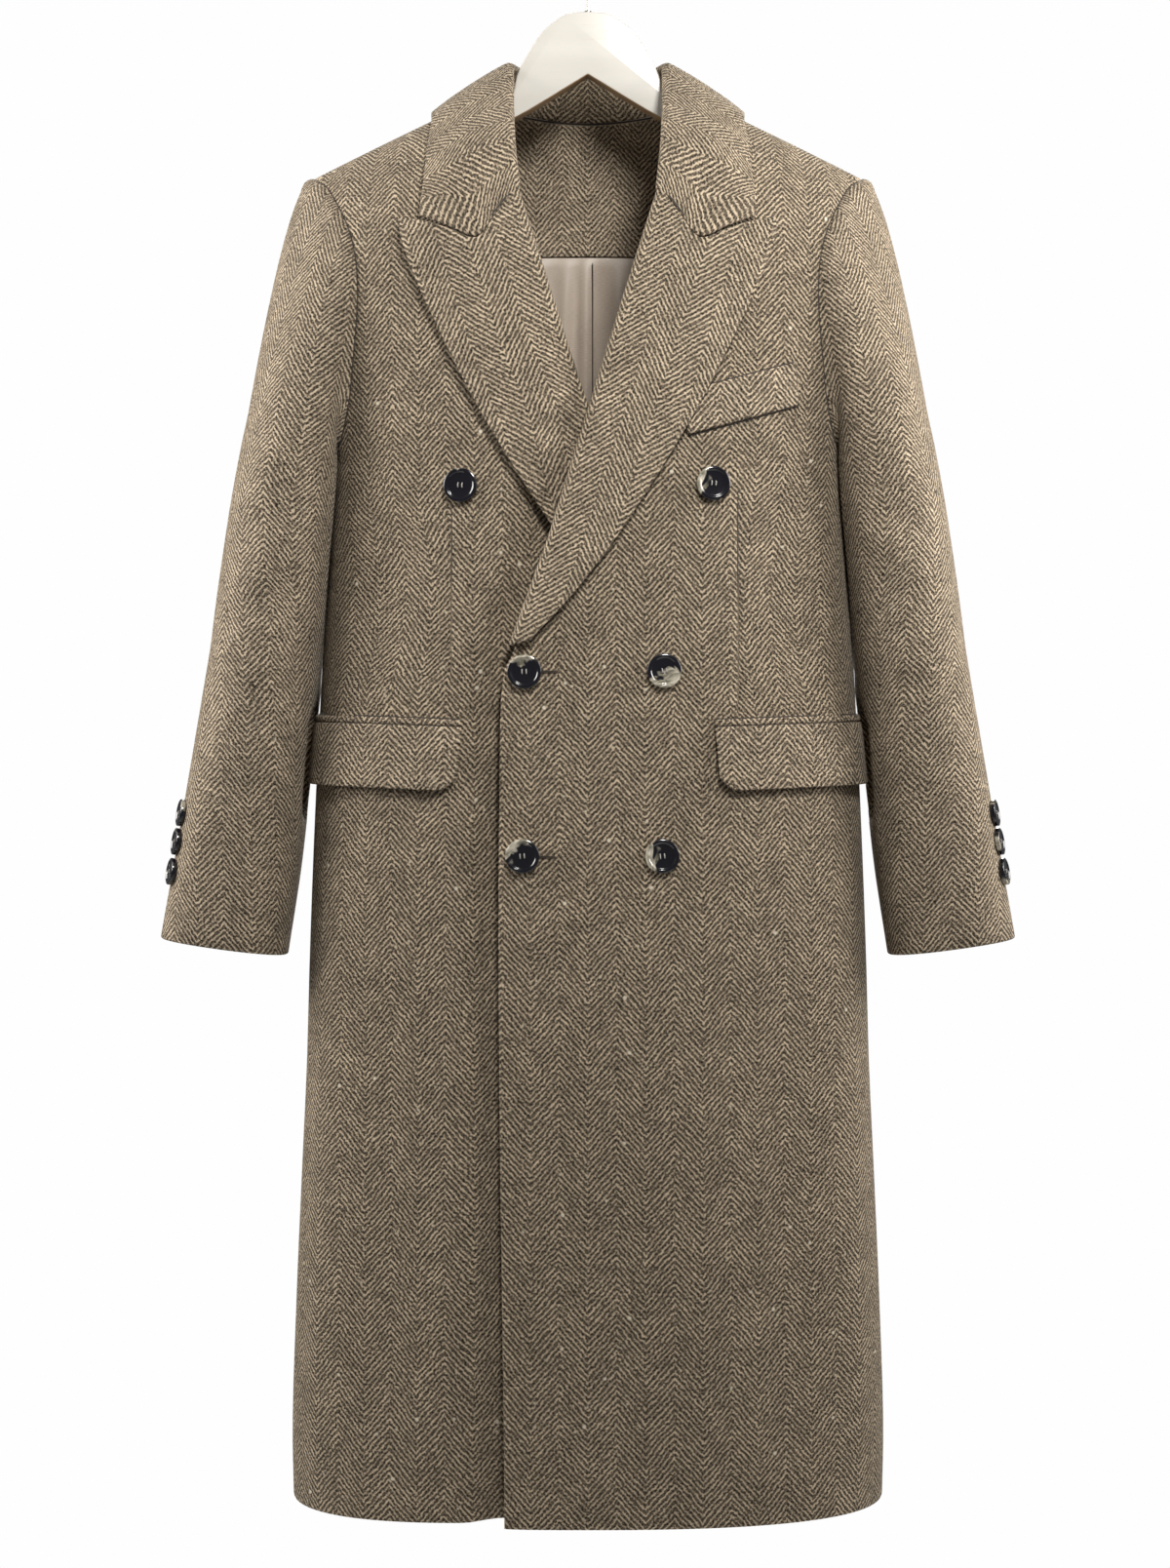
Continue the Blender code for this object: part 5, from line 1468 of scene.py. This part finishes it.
def build_collar():
    stations = []
    for side, order in ((1, range(NECK_ROWS, -1, -1)), (-1, range(0, NECK_ROWS + 1))):
        outer, inner = plain_fronts[side]
        for row in order:
            stations.append((outer[row, 0], inner[row, 0], unit(outer[row, 0] - outer[row, 1])))
    outer, inner, below = plain_back_neck()
    neck = [(outer[k], inner[k], unit(outer[k] - below[k])) for k in range(len(outer) - 1, -1, -1)]
    joined = stations[:NECK_ROWS] + neck + stations[NECK_ROWS + 2 :]
    for place in (NECK_ROWS, NECK_ROWS + len(neck) - 1):
        out, deep, _ = joined[place]
        joined[place] = (out, deep, unit([-np.sign(out[0]) * 0.85, 0, 0.5]))
    points = np.array([station[0] for station in joined])
    reach = reach_of(points)
    reach = np.abs(reach / reach[-1] * 2 - 1) * COLLAR_STATIONS[-1][0]
    seen, hidden = [], []
    for number, (out, deep, toward) in enumerate(joined):
        side = 1 if out[0] > 0 else -1
        if number in (0, len(joined) - 1):
            row = collar_end_row(out, deep, toward, body_normals(FRONT, np.array([out[0], out[2]])), side)
        else:
            row = collar_row(reach[number], out, deep, toward, side)
        seen.append(row[0])
        hidden.append(row[1])
    seen, hidden = (refined_grid(np.array(points), *COLLAR_FINENESS) for points in (seen, hidden))
    for grid in (seen, hidden):
        near = np.clip(1 - (grid[..., 0] / COLLAR_RISE_REACH) ** 2, 0, 1) ** 2
        grid[..., 2] += COLLAR_RISE * near * smooth_step((grid[..., 2] + 0.135) / 0.02)
    roll_column = 4 * COLLAR_FINENESS[1]
    round_neck = reach_of(seen[:, roll_column + 8])
    round_neck -= round_neck[-1] / 2
    out_from_roll = reach_of(seen, axis=1)
    out_from_roll = out_from_roll - out_from_roll[:, [roll_column]]
    cloth = np.stack([np.broadcast_to(round_neck[:, None], out_from_roll.shape), -out_from_roll], axis=-1)
    piece = wall("collar_cloth", (seen + hidden) / 2, (seen - hidden) / 2, cloth, wool_turned_painted_light)
    place_piece(piece, "wool", "collar")
    return piece


collar = build_collar()
declare_sheet(collar, (0.62, 0.13))

# %% [markdown]
# ## Inside the neck
# A curved facing in the coat's own cloth runs below the collar, and the satin lining hangs from it with a
# pleat down the middle that gives ease across the shoulders. Both follow the inside of the back.

# %% Facing and lining
INSIDE_GAP, LINING_SINK = 0.0024, 0.0018
# half width, mm below the hook at the middle and at the sides
FACING_ROWS = ((73, 151.6, 147.8), (80, 175, 178), (90, 210, 215), (96, 240, 245), (100, 262, 264))
LINING_ROWS = ((100, 263, 265), (108, 310, 312), (114, 370, 372), (116, 430, 431), (116, 480, 480))
# mm on the flat cloth: from (across, down) to (across, down), width, height
LINING_FOLDS = (
    (-2, -262, -3, -520, 5, 8.3),
    (9, -262, 10, -500, 4, -1.6),
    (26, -268, 30, -420, 6, 5.8),
    (-19, -266, -24, -430, 6, 5.1),
    (46, -262, 58, -470, 8, 6.4),
    (-44, -262, -56, -470, 8, 5.8),
    (68, -300, 84, -480, 9, -1.8),
    (-75, -290, -88, -480, 10, -1.6),
    (36, -330, 40, -480, 6, -1.6),
)


def build_inside(name, table, finish, thick, folds):
    grid = []
    for half_width, middle_down, side_down in refined(table, 5):
        share = np.linspace(-1, 1, 41)
        down = middle_down + (side_down - middle_down) * share**2
        grid.append(spread_row(BACK, np.stack([share * half_width, -down], axis=1) / 1000, 61))
    grid = np.array(grid)
    normal = body_normals(BACK, grid)
    cloth = body_map(BACK, grid)
    lift = fold_heights(grid[..., 0], grid[..., 1], folds)
    face = body_points(BACK, grid) - normal * (WALL + INSIDE_GAP + np.maximum(lift, -LINING_SINK))[..., None]
    return wall(name, face - normal * thick / 2, -normal * thick / 2, cloth, finish, radius=0.0006)


facing = build_inside("back_facing_cloth", FACING_ROWS, wool_facing_painted_light, 0.0015, ())
place_piece(facing, "wool", "back_facing")
lining = build_inside("lining_back_cloth", LINING_ROWS, satin, 0.001, LINING_FOLDS)
place_piece(lining, "lining", "lining_back")
declare_sheet(facing, (0.21, 0.12))
declare_sheet(lining, (0.25, 0.22))

# %% [markdown]
# ## Pockets
# A flap pocket is a slit bound by a narrow jetting, with the flap hanging from it: thin at the slit, thick
# and a little lifted at its lower edge. The breast pocket is a slanted welt. All of them take their points
# from the front below them, moved out, and their weave matches it.

# %% Pocket flaps, jettings and welt
FLAP_START = 0.103
FLAP_LENGTH = 0.172
FLAP_HEIGHT = 0.052
FLAP_FRONT_Z = -0.684
FLAP_SIDE_Z = -0.677
FLAP_CORNER = 0.22
FLAP_SLANT = 0.004
FLAP_CORNER_SHARE = 0.09
FLAP_SHARES = np.r_[np.linspace(0, FLAP_CORNER_SHARE, 8)[:-1], np.linspace(FLAP_CORNER_SHARE, 1, 36)]
WELT_CORNERS = np.array(((700, 402), (813.9, 372.3), (818.7, 415.5), (705, 446)))
WELT_RISE, WELT_HALF = 0.0038, 0.0016
# share down the flap, and how proud of the front its face is there
FLAP_ROWS = ((0, 0.0038), (0.12, 0.0050), (0.35, 0.0058), (0.7, 0.0066), (0.9, 0.0072), (1, 0.0071))
JETTING_ROWS = ((-0.115, 0.0028), (-0.085, 0.0036), (-0.04, 0.0038), (-0.012, 0.0030))
# kind, its rows, most thickness, steps between two rows
POCKET_PIECES = (("flap", FLAP_ROWS, 0.0032, 4), ("jetting", JETTING_ROWS, 0.002, 3))


def x_along(reach, z):
    """x at this length round the front from its middle, at height z."""
    bend = np.linspace(0, math.pi / 2, 361)
    x = body_sizes(z)[0] * np.sin(bend)
    y = depth_at(FRONT, x, np.full_like(x, z))
    return np.interp(reach, reach_of(np.stack([x, y], axis=1)), x)


def pocket_place(side, share, low, slant=0.0):
    """(x, z) at this share along the pocket's mouth and this share of the flap's height below it."""
    z = FLAP_FRONT_Z + (FLAP_SIDE_Z - FLAP_FRONT_Z) * share - low * FLAP_HEIGHT
    return side * x_along(FLAP_START + slant + FLAP_LENGTH * share, z), z


def build_flap(name, side, table, thick, fineness, node):
    layer = OVER if side > 0 else UNDER
    table = refined(table, fineness)
    grid = []
    for row in table[:, 0]:
        line = []
        for share in FLAP_SHARES:
            cut = FLAP_CORNER * max(0.0, 1 - share / FLAP_CORNER_SHARE) ** 2
            low = row * (1 - cut) if row > 0 else row
            line.append(pocket_place(side, share, low, FLAP_SLANT * low))
        grid.append(line)
    grid = np.array(grid)
    outer, normal = raised(FRONT, grid, table[:, 1][:, None, None], layer)
    cloth = body_map(FRONT, grid)
    half = normal * np.minimum(thick / 2, (table[:, 1] - 0.0006) / 2)[:, None, None]
    piece = wall(name, outer - half, half, cloth, wool_flap_painted_light, radius=0.0014)
    place_piece(piece, "wool", node)
    return piece


for side, label in ((1, "left"), (-1, "right")):
    flap, jetting = (
        build_flap(f"{kind}_{label}_cloth", side, table, thick, fineness, f"{kind}_{label}")
        for kind, table, thick, fineness in POCKET_PIECES
    )
    declare_sheet(flap, (0.175, 0.055))


def between(first, second, count=30):
    """Evenly spaced points from the first to the second."""
    first = np.array(first)
    return [first + (np.array(second) - first) * part for part in np.linspace(0, 1, count)]


def build_welt():
    sides = (between(WELT_CORNERS[top], WELT_CORNERS[foot], 13) for top, foot in ((0, 3), (1, 2)))
    grid = np.array([[spot(*place) for place in between(*ends, 33)] for ends in zip(*sides)])
    outer, normal = raised(FRONT, grid, WELT_RISE)
    half = WELT_HALF * normal
    piece = wall("chest_welt_cloth", outer - half, half, body_map(FRONT, grid), wool_welt_painted_light)
    place_piece(piece, "wool", "chest_welt")
    return piece


welt = build_welt()
declare_sheet(welt, (0.11, 0.045))

# %% [markdown]
# ## Seams
# The seams that show are drawn with narrow dark bands, sunk in the grooves between the pieces: the
# gorge between collar and lapel, the darts, the armholes, the pockets' edges, the neck seam and the pleat in
# the lining. The seams are real, but the bands' dark colour is painted shade that stands in for the shade in
# the grooves, and along the pleat it is a painted shadow.

# %% Seam lines
def body_seam(name, face, xz, lift, width, layer=OVER, finish=painted_shade_thread, side=1):
    """A seam line at this lift off the body; side -1 turns its band to face inward. Its default finish is the
    painted shade of the seam's groove.
    """
    place, normal = raised(face, xz, lift, layer)
    seam_line(name, place, side * normal, finish, width)


def front_line(name, ends, layer, lift, width, count=30, finish=painted_shade_thread):
    spots = np.array([spot(px, py, layer, layer) for px, py in between(*ends, count)])
    body_seam(name, FRONT, spots, lift, width, layer, finish)


# the seams are real; the dark colour of their bands is painted shade in the grooves
for layer, label in ((OVER, "left"), (UNDER, "right")):
    front_line(f"gorge_seam_{label}", (ROLL_START + (ROLL_SHIFT + 5, 5), NOTCH), layer, 0.0100, 0.0013)
    dart_px, dart_top, dart_foot = DARTS[layer]
    front_line(f"dart_seam_{label}", ((dart_px, dart_top), (dart_px, dart_foot)), layer, -0.0006, 0.0009, 50)
    body_seam(f"armhole_seam_{label}", FRONT, fine_armhole(FRONT)[5:] * (layer, 1), -0.0003, 0.0011)
    for edge, low, lift in (("upper", -0.125, 0.0004), ("lower", -0.004, 0.0026)):
        line = np.array([pocket_place(layer, share, low) for share in np.linspace(0.006, 0.985, 60)])
        body_seam(f"pocket_seam_{edge}_{label}", FRONT, line, lift, 0.0012, layer)

# the welt's dark lines are painted shade along its edges
# from (corner, moved by), to (corner, moved by), width
for label, first, first_by, last, last_by, width in (
    ("lower", 3, (1, 1), 2, (0, 1), 0.0012),
    ("upper", 0, (0, -1), 1, (0, -1), 0.0009),
    ("side", 1, (1, 0), 2, (1, 0), 0.0008),
):
    ends = (WELT_CORNERS[first] + first_by, WELT_CORNERS[last] + last_by)
    front_line(f"welt_seam_{label}", ends, OVER, 0.0004, width)
front_line("welt_tack", ((745, 425), (757, 422)), OVER, 0.0031, 0.0008, 8, hole_thread)

# the neck seam's dark band is painted shade at the facing's join
neck_x = np.linspace(-0.066, 0.066, 50)
neck = np.stack([neck_x, -(0.1502 - 0.0035 * (neck_x / 0.073) ** 2)], axis=1)
body_seam("neck_seam", BACK, neck, -(WALL + INSIDE_GAP + 0.0006), 0.0014, side=-1)
# painted shadow: a dark band along the pleat stands in for the shade that its fold throws
PLEAT_RISE = 0.0034
pleat_z = np.linspace(-0.268, -0.470, 60)
pleat = np.stack([np.full_like(pleat_z, 0.0042), pleat_z], axis=1)
body_seam("pleat_painted_shadow", BACK, pleat, -(WALL + INSIDE_GAP + PLEAT_RISE), 0.0009, side=-1)
print("seam lines:", sum("_seam" in piece.name for piece in bpy.data.objects), "and the pleat's edge")

# %% [markdown]
# ## Horn buttons
# A coat button is turned: a raised rim, a dish inside it, and four holes in the middle. One is modelled from
# a cylinder by insets that step its face up and down, beveled, and drilled by a Boolean. Each copy gets its
# own mesh, its own place, and a map of its face that is turned and moved so that the swirl differs.

# %% Horn buttons and their thread
FRONT_BUTTON = 0.0277
FRONT_BUTTON_THICK = 0.0045
CUFF_BUTTON = 0.0225
CUFF_BUTTON_THICK = 0.0035
BUTTON_GAP = 0.0004
# share of the button's size, from its middle to each hole's
HOLE_OFF = 0.062
CUFF_BUTTON_SHARE = 0.07
# picture units, and whether it stands on the over front, then the swirl's turn and how much of it is pale
FRONT_BUTTONS = (
    ("upper_right", 473, 498, UNDER, 100, -0.55),
    ("upper_left", 731, 496, OVER, 165, 0.0),
    ("middle_right", 538, 689, OVER, 95, 0.05),
    ("middle_left", 681, 688, OVER, 285, 0.22),
    ("lower_right", 536, 878, OVER, 130, 0.10),
    ("lower_left", 679, 878, OVER, 175, 0.08),
)
# mm below the hook
CUFF_BUTTONS = (761, 785, 810)


def select_faces(thing, chosen):
    """Leaves edit mode with only the faces that the test picks selected, and comes back."""
    bpy.ops.object.mode_set(mode="EDIT")
    bpy.ops.mesh.select_mode(type="FACE")
    bpy.ops.mesh.select_all(action="DESELECT")
    bpy.ops.object.mode_set(mode="OBJECT")
    for face in thing.data.polygons:
        face.select = bool(chosen(face))
    bpy.ops.object.mode_set(mode="EDIT")


def apply_modifier(thing, kind, **settings):
    only(thing)
    step = thing.modifiers.new(kind.lower(), kind)
    for label, value in settings.items():
        setattr(step, label, value)
    bpy.ops.object.modifier_apply(modifier=step.name)


def round_edges(thing, width, segments, degrees):
    """Rounds the edges that turn by more than this angle."""
    limit = math.radians(degrees)
    apply_modifier(thing, "BEVEL", width=width, segments=segments, limit_method="ANGLE", angle_limit=limit)


def smooth_below(thing, degrees):
    only(thing)
    bpy.ops.object.shade_smooth_by_angle(angle=math.radians(degrees))


def model_button(size, thick):
    cylinder = bpy.ops.mesh.primitive_cylinder_add
    button = primitive(cylinder, vertices=56, radius=size / 2, depth=thick, location=(0, 0, thick / 2))
    select_faces(button, lambda face: face.normal.z > 0.9)
    bpy.ops.mesh.inset(thickness=size * 0.050, depth=size * 0.020)
    bpy.ops.mesh.inset(thickness=size * 0.040, depth=0.0)
    bpy.ops.mesh.inset(thickness=size * 0.045, depth=-size * 0.038)
    bpy.ops.mesh.inset(thickness=size * 0.19, depth=-size * 0.012)
    select_faces(button, lambda face: face.normal.z < -0.9)
    bpy.ops.mesh.inset(thickness=size * 0.10, depth=size * 0.02)
    close_up()
    round_edges(button, size * 0.016, 3, 24)
    off = size * HOLE_OFF
    places = ((off, off, 0), (-off, off, 0), (-off, -off, 0), (off, -off, 0))
    sizes = {"vertices": 20, "radius": size * 0.036, "depth": thick * 4}
    drill = joined(*[primitive(cylinder, location=place, **sizes) for place in places])
    apply_modifier(button, "BOOLEAN", operation="DIFFERENCE", object=drill)
    bpy.data.objects.remove(drill, do_unlink=True)
    smooth_below(button, 35)
    return button


def model_stitch(size, thick):
    """Two loops of thread over the holes: a ring cut in half and pressed flat."""
    loops = []
    for across in (-1, 1):
        ring = primitive(
            bpy.ops.mesh.primitive_torus_add,
            major_radius=size * HOLE_OFF,
            minor_radius=size * 0.017,
            major_segments=28,
            minor_segments=10,
            rotation=(math.pi / 2, 0, math.pi / 2),
            location=(across * size * HOLE_OFF, 0, 0),
        )
        open_up(ring)
        cut = (0, 0, -size * 0.02)
        bpy.ops.mesh.bisect(plane_co=cut, plane_no=(0, 0, 1), clear_inner=True, use_fill=True)
        bpy.ops.mesh.select_all(action="SELECT")
        bpy.ops.transform.resize(value=(1, 1, 0.45))
        bpy.ops.transform.translate(value=(0, 0, thick * 0.78))
        loops.append(close_up())
    stitch = joined(*loops)
    bpy.ops.object.shade_smooth()
    return stitch


def standing(centre, outward, turn=0.0):
    """A frame on the cloth: its z leaves the cloth, and its y points up the coat."""
    outward = Vector([float(part) for part in unit(outward)])
    across = Vector((0, 0, 1)).cross(outward).normalized()
    up = outward.cross(across)
    base = Matrix((across, up, outward)).transposed().to_4x4()
    return Matrix.Translation([float(part) for part in centre]) @ base @ Matrix.Rotation(turn, 4, "Z")


def put_copy(model, name, matrix, finish, face_size=None, swirl=(0, 0)):
    mesh = model.data.copy()
    mesh.name = name
    if face_size:
        spots = np.empty(len(mesh.vertices) * 3)
        mesh.vertices.foreach_get("co", spots)
        flat = spots.reshape(-1, 3)[:, :2] / (face_size / 2)
        angle = math.radians(swirl[0])
        turned = np.stack(
            [
                flat[:, 0] * math.cos(angle) + flat[:, 1] * math.sin(angle) + swirl[1],
                flat[:, 1] * math.cos(angle) - flat[:, 0] * math.sin(angle) + swirl[0] / 40,
            ],
            axis=1,
        )
        corners = np.empty(len(mesh.loops), int)
        mesh.loops.foreach_get("vertex_index", corners)
        layer = mesh.uv_layers.get("cloth") or mesh.uv_layers.new(name="cloth")
        layer.data.foreach_set("uv", turned[corners].ravel())
        layer.active = True
    mesh.materials.clear()
    mesh.materials.append(finish)
    mesh.transform(matrix)
    return linked(name, mesh)


BUTTON_SIZES = ((FRONT_BUTTON, FRONT_BUTTON_THICK), (CUFF_BUTTON, CUFF_BUTTON_THICK))
front_button, cuff_button = (model_button(*sizes) for sizes in BUTTON_SIZES)
front_stitch, cuff_stitch = (model_stitch(*sizes) for sizes in BUTTON_SIZES)


def place_button(label, model, stitch, size, centre, outward, swirl):
    turn = math.radians(swirl[0] % 11 - 5)
    frame_here = standing(centre, outward, turn)
    piece = put_copy(model, f"horn_{label}", frame_here, horn, size, swirl)
    place_piece(piece, "horn", label)
    thread = put_copy(stitch, f"thread_{label}", frame_here, button_thread)
    place_piece(thread, "wool")


for label, px, py, layer, turn, pale_share in FRONT_BUTTONS:
    px = px if layer == OVER else 2 * PICTURE_MIDDLE[0] - px
    centre, outward = raised(FRONT, spot(px, py, layer, layer), BUTTON_GAP, layer)
    swirl = (turn, pale_share)
    place_button("button_" + label, front_button, front_stitch, FRONT_BUTTON, centre, outward, swirl)
for side, label in ((1, "left"), (-1, "right")):
    for number, down in enumerate(CUFF_BUTTONS, start=1):
        near = np.array([CUFF_BUTTON_SHARE - 0.01, CUFF_BUTTON_SHARE, CUFF_BUTTON_SHARE + 0.01])
        ring = kept_off_body(sleeve_ring(down / 1000, near, side), side, ARMPIT_GAP)
        along_arm = sleeve_ring(down / 1000 + 0.01, near, side)[1] - ring[1]
        outward = unit(np.cross(ring[2] - ring[0], along_arm))
        outward = outward * np.sign(outward[0] * side)
        centre = ring[1] + BUTTON_GAP * outward
        name, swirl = f"cuff_button_{label}_{number}", (70 * number + 40 * side, -0.3)
        place_button(name, cuff_button, cuff_stitch, CUFF_BUTTON, centre, outward, swirl)
for model in (front_button, cuff_button, front_stitch, cuff_stitch):
    bpy.data.objects.remove(model, do_unlink=True)
print("buttons:", len(FRONT_BUTTONS), "on the fronts and", 2 * len(CUFF_BUTTONS), "on the cuffs")

# %% [markdown]
# ## Buttonholes
# A buttonhole is a slit with a lip of close stitches. A ring is pressed narrow and flat for the lip, and a
# dark slot of painted shade lies inside it, where the slit's opening is in shade.

# %% Buttonholes
# picture units: the middle of each slit
BUTTONHOLES = (("upper", 556, 689.0), ("lower", 554, 879.0))
HOLE_HALF = 0.0145
HOLE_LIP = 0.0008


def model_buttonhole():
    ring = bpy.ops.mesh.primitive_torus_add
    lip = primitive(ring, major_radius=HOLE_HALF, minor_radius=HOLE_LIP, major_segments=72, minor_segments=10)
    resized(lip, (1, 0.075, 0.7))
    bpy.ops.object.shade_smooth()
    slot = primitive(bpy.ops.mesh.primitive_cylinder_add, vertices=40, radius=HOLE_HALF * 0.98, depth=0.0006)
    return lip, resized(slot, (1, 0.055, 1))


lip_model, slit_shade_model = model_buttonhole()
for label, px, py in BUTTONHOLES:
    frame_here = standing(*raised(FRONT, spot(px, py), BUTTON_GAP))
    lip = put_copy(lip_model, f"buttonhole_{label}_lip", frame_here, hole_thread)
    # the slit's dark disc is painted shade in the opening
    slot = put_copy(slit_shade_model, f"buttonhole_{label}_slit", frame_here, painted_shade_thread)
    for piece in (lip, slot):
        place_piece(piece, "wool")
for model in (lip_model, slit_shade_model):
    bpy.data.objects.remove(model, do_unlink=True)
print("buttonholes:", len(BUTTONHOLES), "of", round(2000 * HOLE_HALF), "mm")

# %% [markdown]
# ## The hanger
# The hanger is a shaped board with a tall middle. Its outline is a circle of points moved into place,
# extruded to the board's thickness and rounded with a bevel. The hook is a wire bent round an arch, held in
# the board by a small ferrule.

# %% The hanger and its hook
HANGER_DOME = ((10, 75.2), (20, 77.5), (38, 91), (52, 112), (60, 128), (64, 144), (72, 143.8))
HANGER_SEAT = 0.0042
HANGER_ARMS = (0.10, 0.14, 0.18, 0.205)
HANGER_BAR = 0.020
HANGER_TOP = -0.0746
HANGER_ARCH = ((0.064, -0.166), (0, -0.128))
HANGER_ARCH_SLOPE = 0.594
HANGER_THICK = 0.014
HANGER_ROUND = 0.0038
HOOK_RADIUS = 0.021
HOOK_WIRE = 0.0028
HOOK_STEM = ((0, -0.0743), (0, -0.062), (0.002, -0.052), (0.010, -0.044))


def hanger_outline():
    right = [(x / 1000, -down / 1000) for x, down in HANGER_DOME]
    right += [(x, ridge(x) - HANGER_SEAT) for x in HANGER_ARMS]
    right += [(0.212, ridge(0.212) - HANGER_SEAT - 0.006), (0.208, ridge(0.208) - HANGER_SEAT - 0.017)]
    right += [(x, ridge(x) - HANGER_SEAT - HANGER_BAR) for x in HANGER_ARMS[-2::-1]]
    right.append(HANGER_ARCH[0])
    half = np.array([(0, HANGER_TOP)] + right + [HANGER_ARCH[1]])
    half = refined(half, 4)
    return np.concatenate([half, half[-2:0:-1] * (-1, 1)])


def build_hanger():
    outline = hanger_outline()
    count = len(outline)
    circle, upright = bpy.ops.mesh.primitive_circle_add, (math.pi / 2, 0, 0)
    board = primitive(circle, vertices=count, radius=0.1, fill_type="NGON", rotation=upright)
    placed = np.stack([outline[:, 0], np.full(count, HANGER_THICK / 2), outline[:, 1]], axis=1)
    board.data.vertices.foreach_set("co", placed.ravel())
    open_up(board)
    bpy.ops.mesh.extrude_region_move(TRANSFORM_OT_translate={"value": (0, -HANGER_THICK, 0)})
    bpy.ops.mesh.select_all(action="SELECT")
    bpy.ops.mesh.normals_make_consistent(inside=False)
    close_up()
    round_edges(board, HANGER_ROUND, 5, 60)
    board.data.materials.clear()
    board.data.materials.append(wood)
    board.data.materials.append(wood_edge)
    for face in board.data.polygons:
        off = abs(face.center.x)
        under = face.center.z < HANGER_ARCH[1][1] - HANGER_ARCH_SLOPE * off + 0.0025
        face.material_index = int(off < 0.076 and under and abs(face.normal.y) < 0.8)
    smooth_below(board, 40)
    board.name = "wooden_hanger"
    place_piece(board, "wood", "hanger")


def build_hook():
    path = list(HOOK_STEM)
    middle_z = HOOK_WIRE / 2 - HOOK_RADIUS
    for angle in np.radians(range(-42, 206, 8)):
        path.append((HOOK_RADIUS * math.cos(angle), HOOK_RADIUS * math.sin(angle) + middle_z))
    path = along(np.array([(x, 0, z) for x, z in path]), 90)
    route = bpy.data.curves.new("hook_route", "CURVE")
    route.dimensions = "3D"
    route.bevel_depth = HOOK_WIRE / 2
    route.bevel_resolution = 4
    route.use_fill_caps = True
    line = route.splines.new("POLY")
    line.points.add(len(path) - 1)
    for point, (x, y, z) in zip(line.points, path):
        point.co = (x, y, z, 1)
    hook = linked("wire_hook", route)
    only(hook)
    bpy.ops.object.convert(target="MESH")
    hook = bpy.context.active_object
    hook.data.materials.clear()
    hook.data.materials.append(wire)
    bpy.ops.object.shade_smooth()
    place_piece(hook, "steel", "hanger_hook")
    cylinder, place = bpy.ops.mesh.primitive_cylinder_add, (0, 0, HANGER_TOP + 0.0006)
    ferrule = primitive(cylinder, vertices=32, radius=0.0042, depth=0.0016, location=place)
    select_faces(ferrule, lambda face: face.normal.z > 0.9)
    bpy.ops.mesh.inset(thickness=0.0014, depth=0.0004)
    close_up()
    round_edges(ferrule, 0.0003, 2, 30)
    ferrule.data.materials.append(wire)
    smooth_below(ferrule, 40)
    ferrule.name = "hook_ferrule"
    place_piece(ferrule, "steel")


build_hanger()
build_hook()
print("hanger outline:", len(hanger_outline()), "points")

# %% Sizes and finish
coat_box = [[float(value) for value in corner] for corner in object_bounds()]
grown = (1000 * (np.array(coat_box) - np.array(cad_box))).round(1).tolist()
print("the finished coat stands off the frame's box by", grown, "mm")
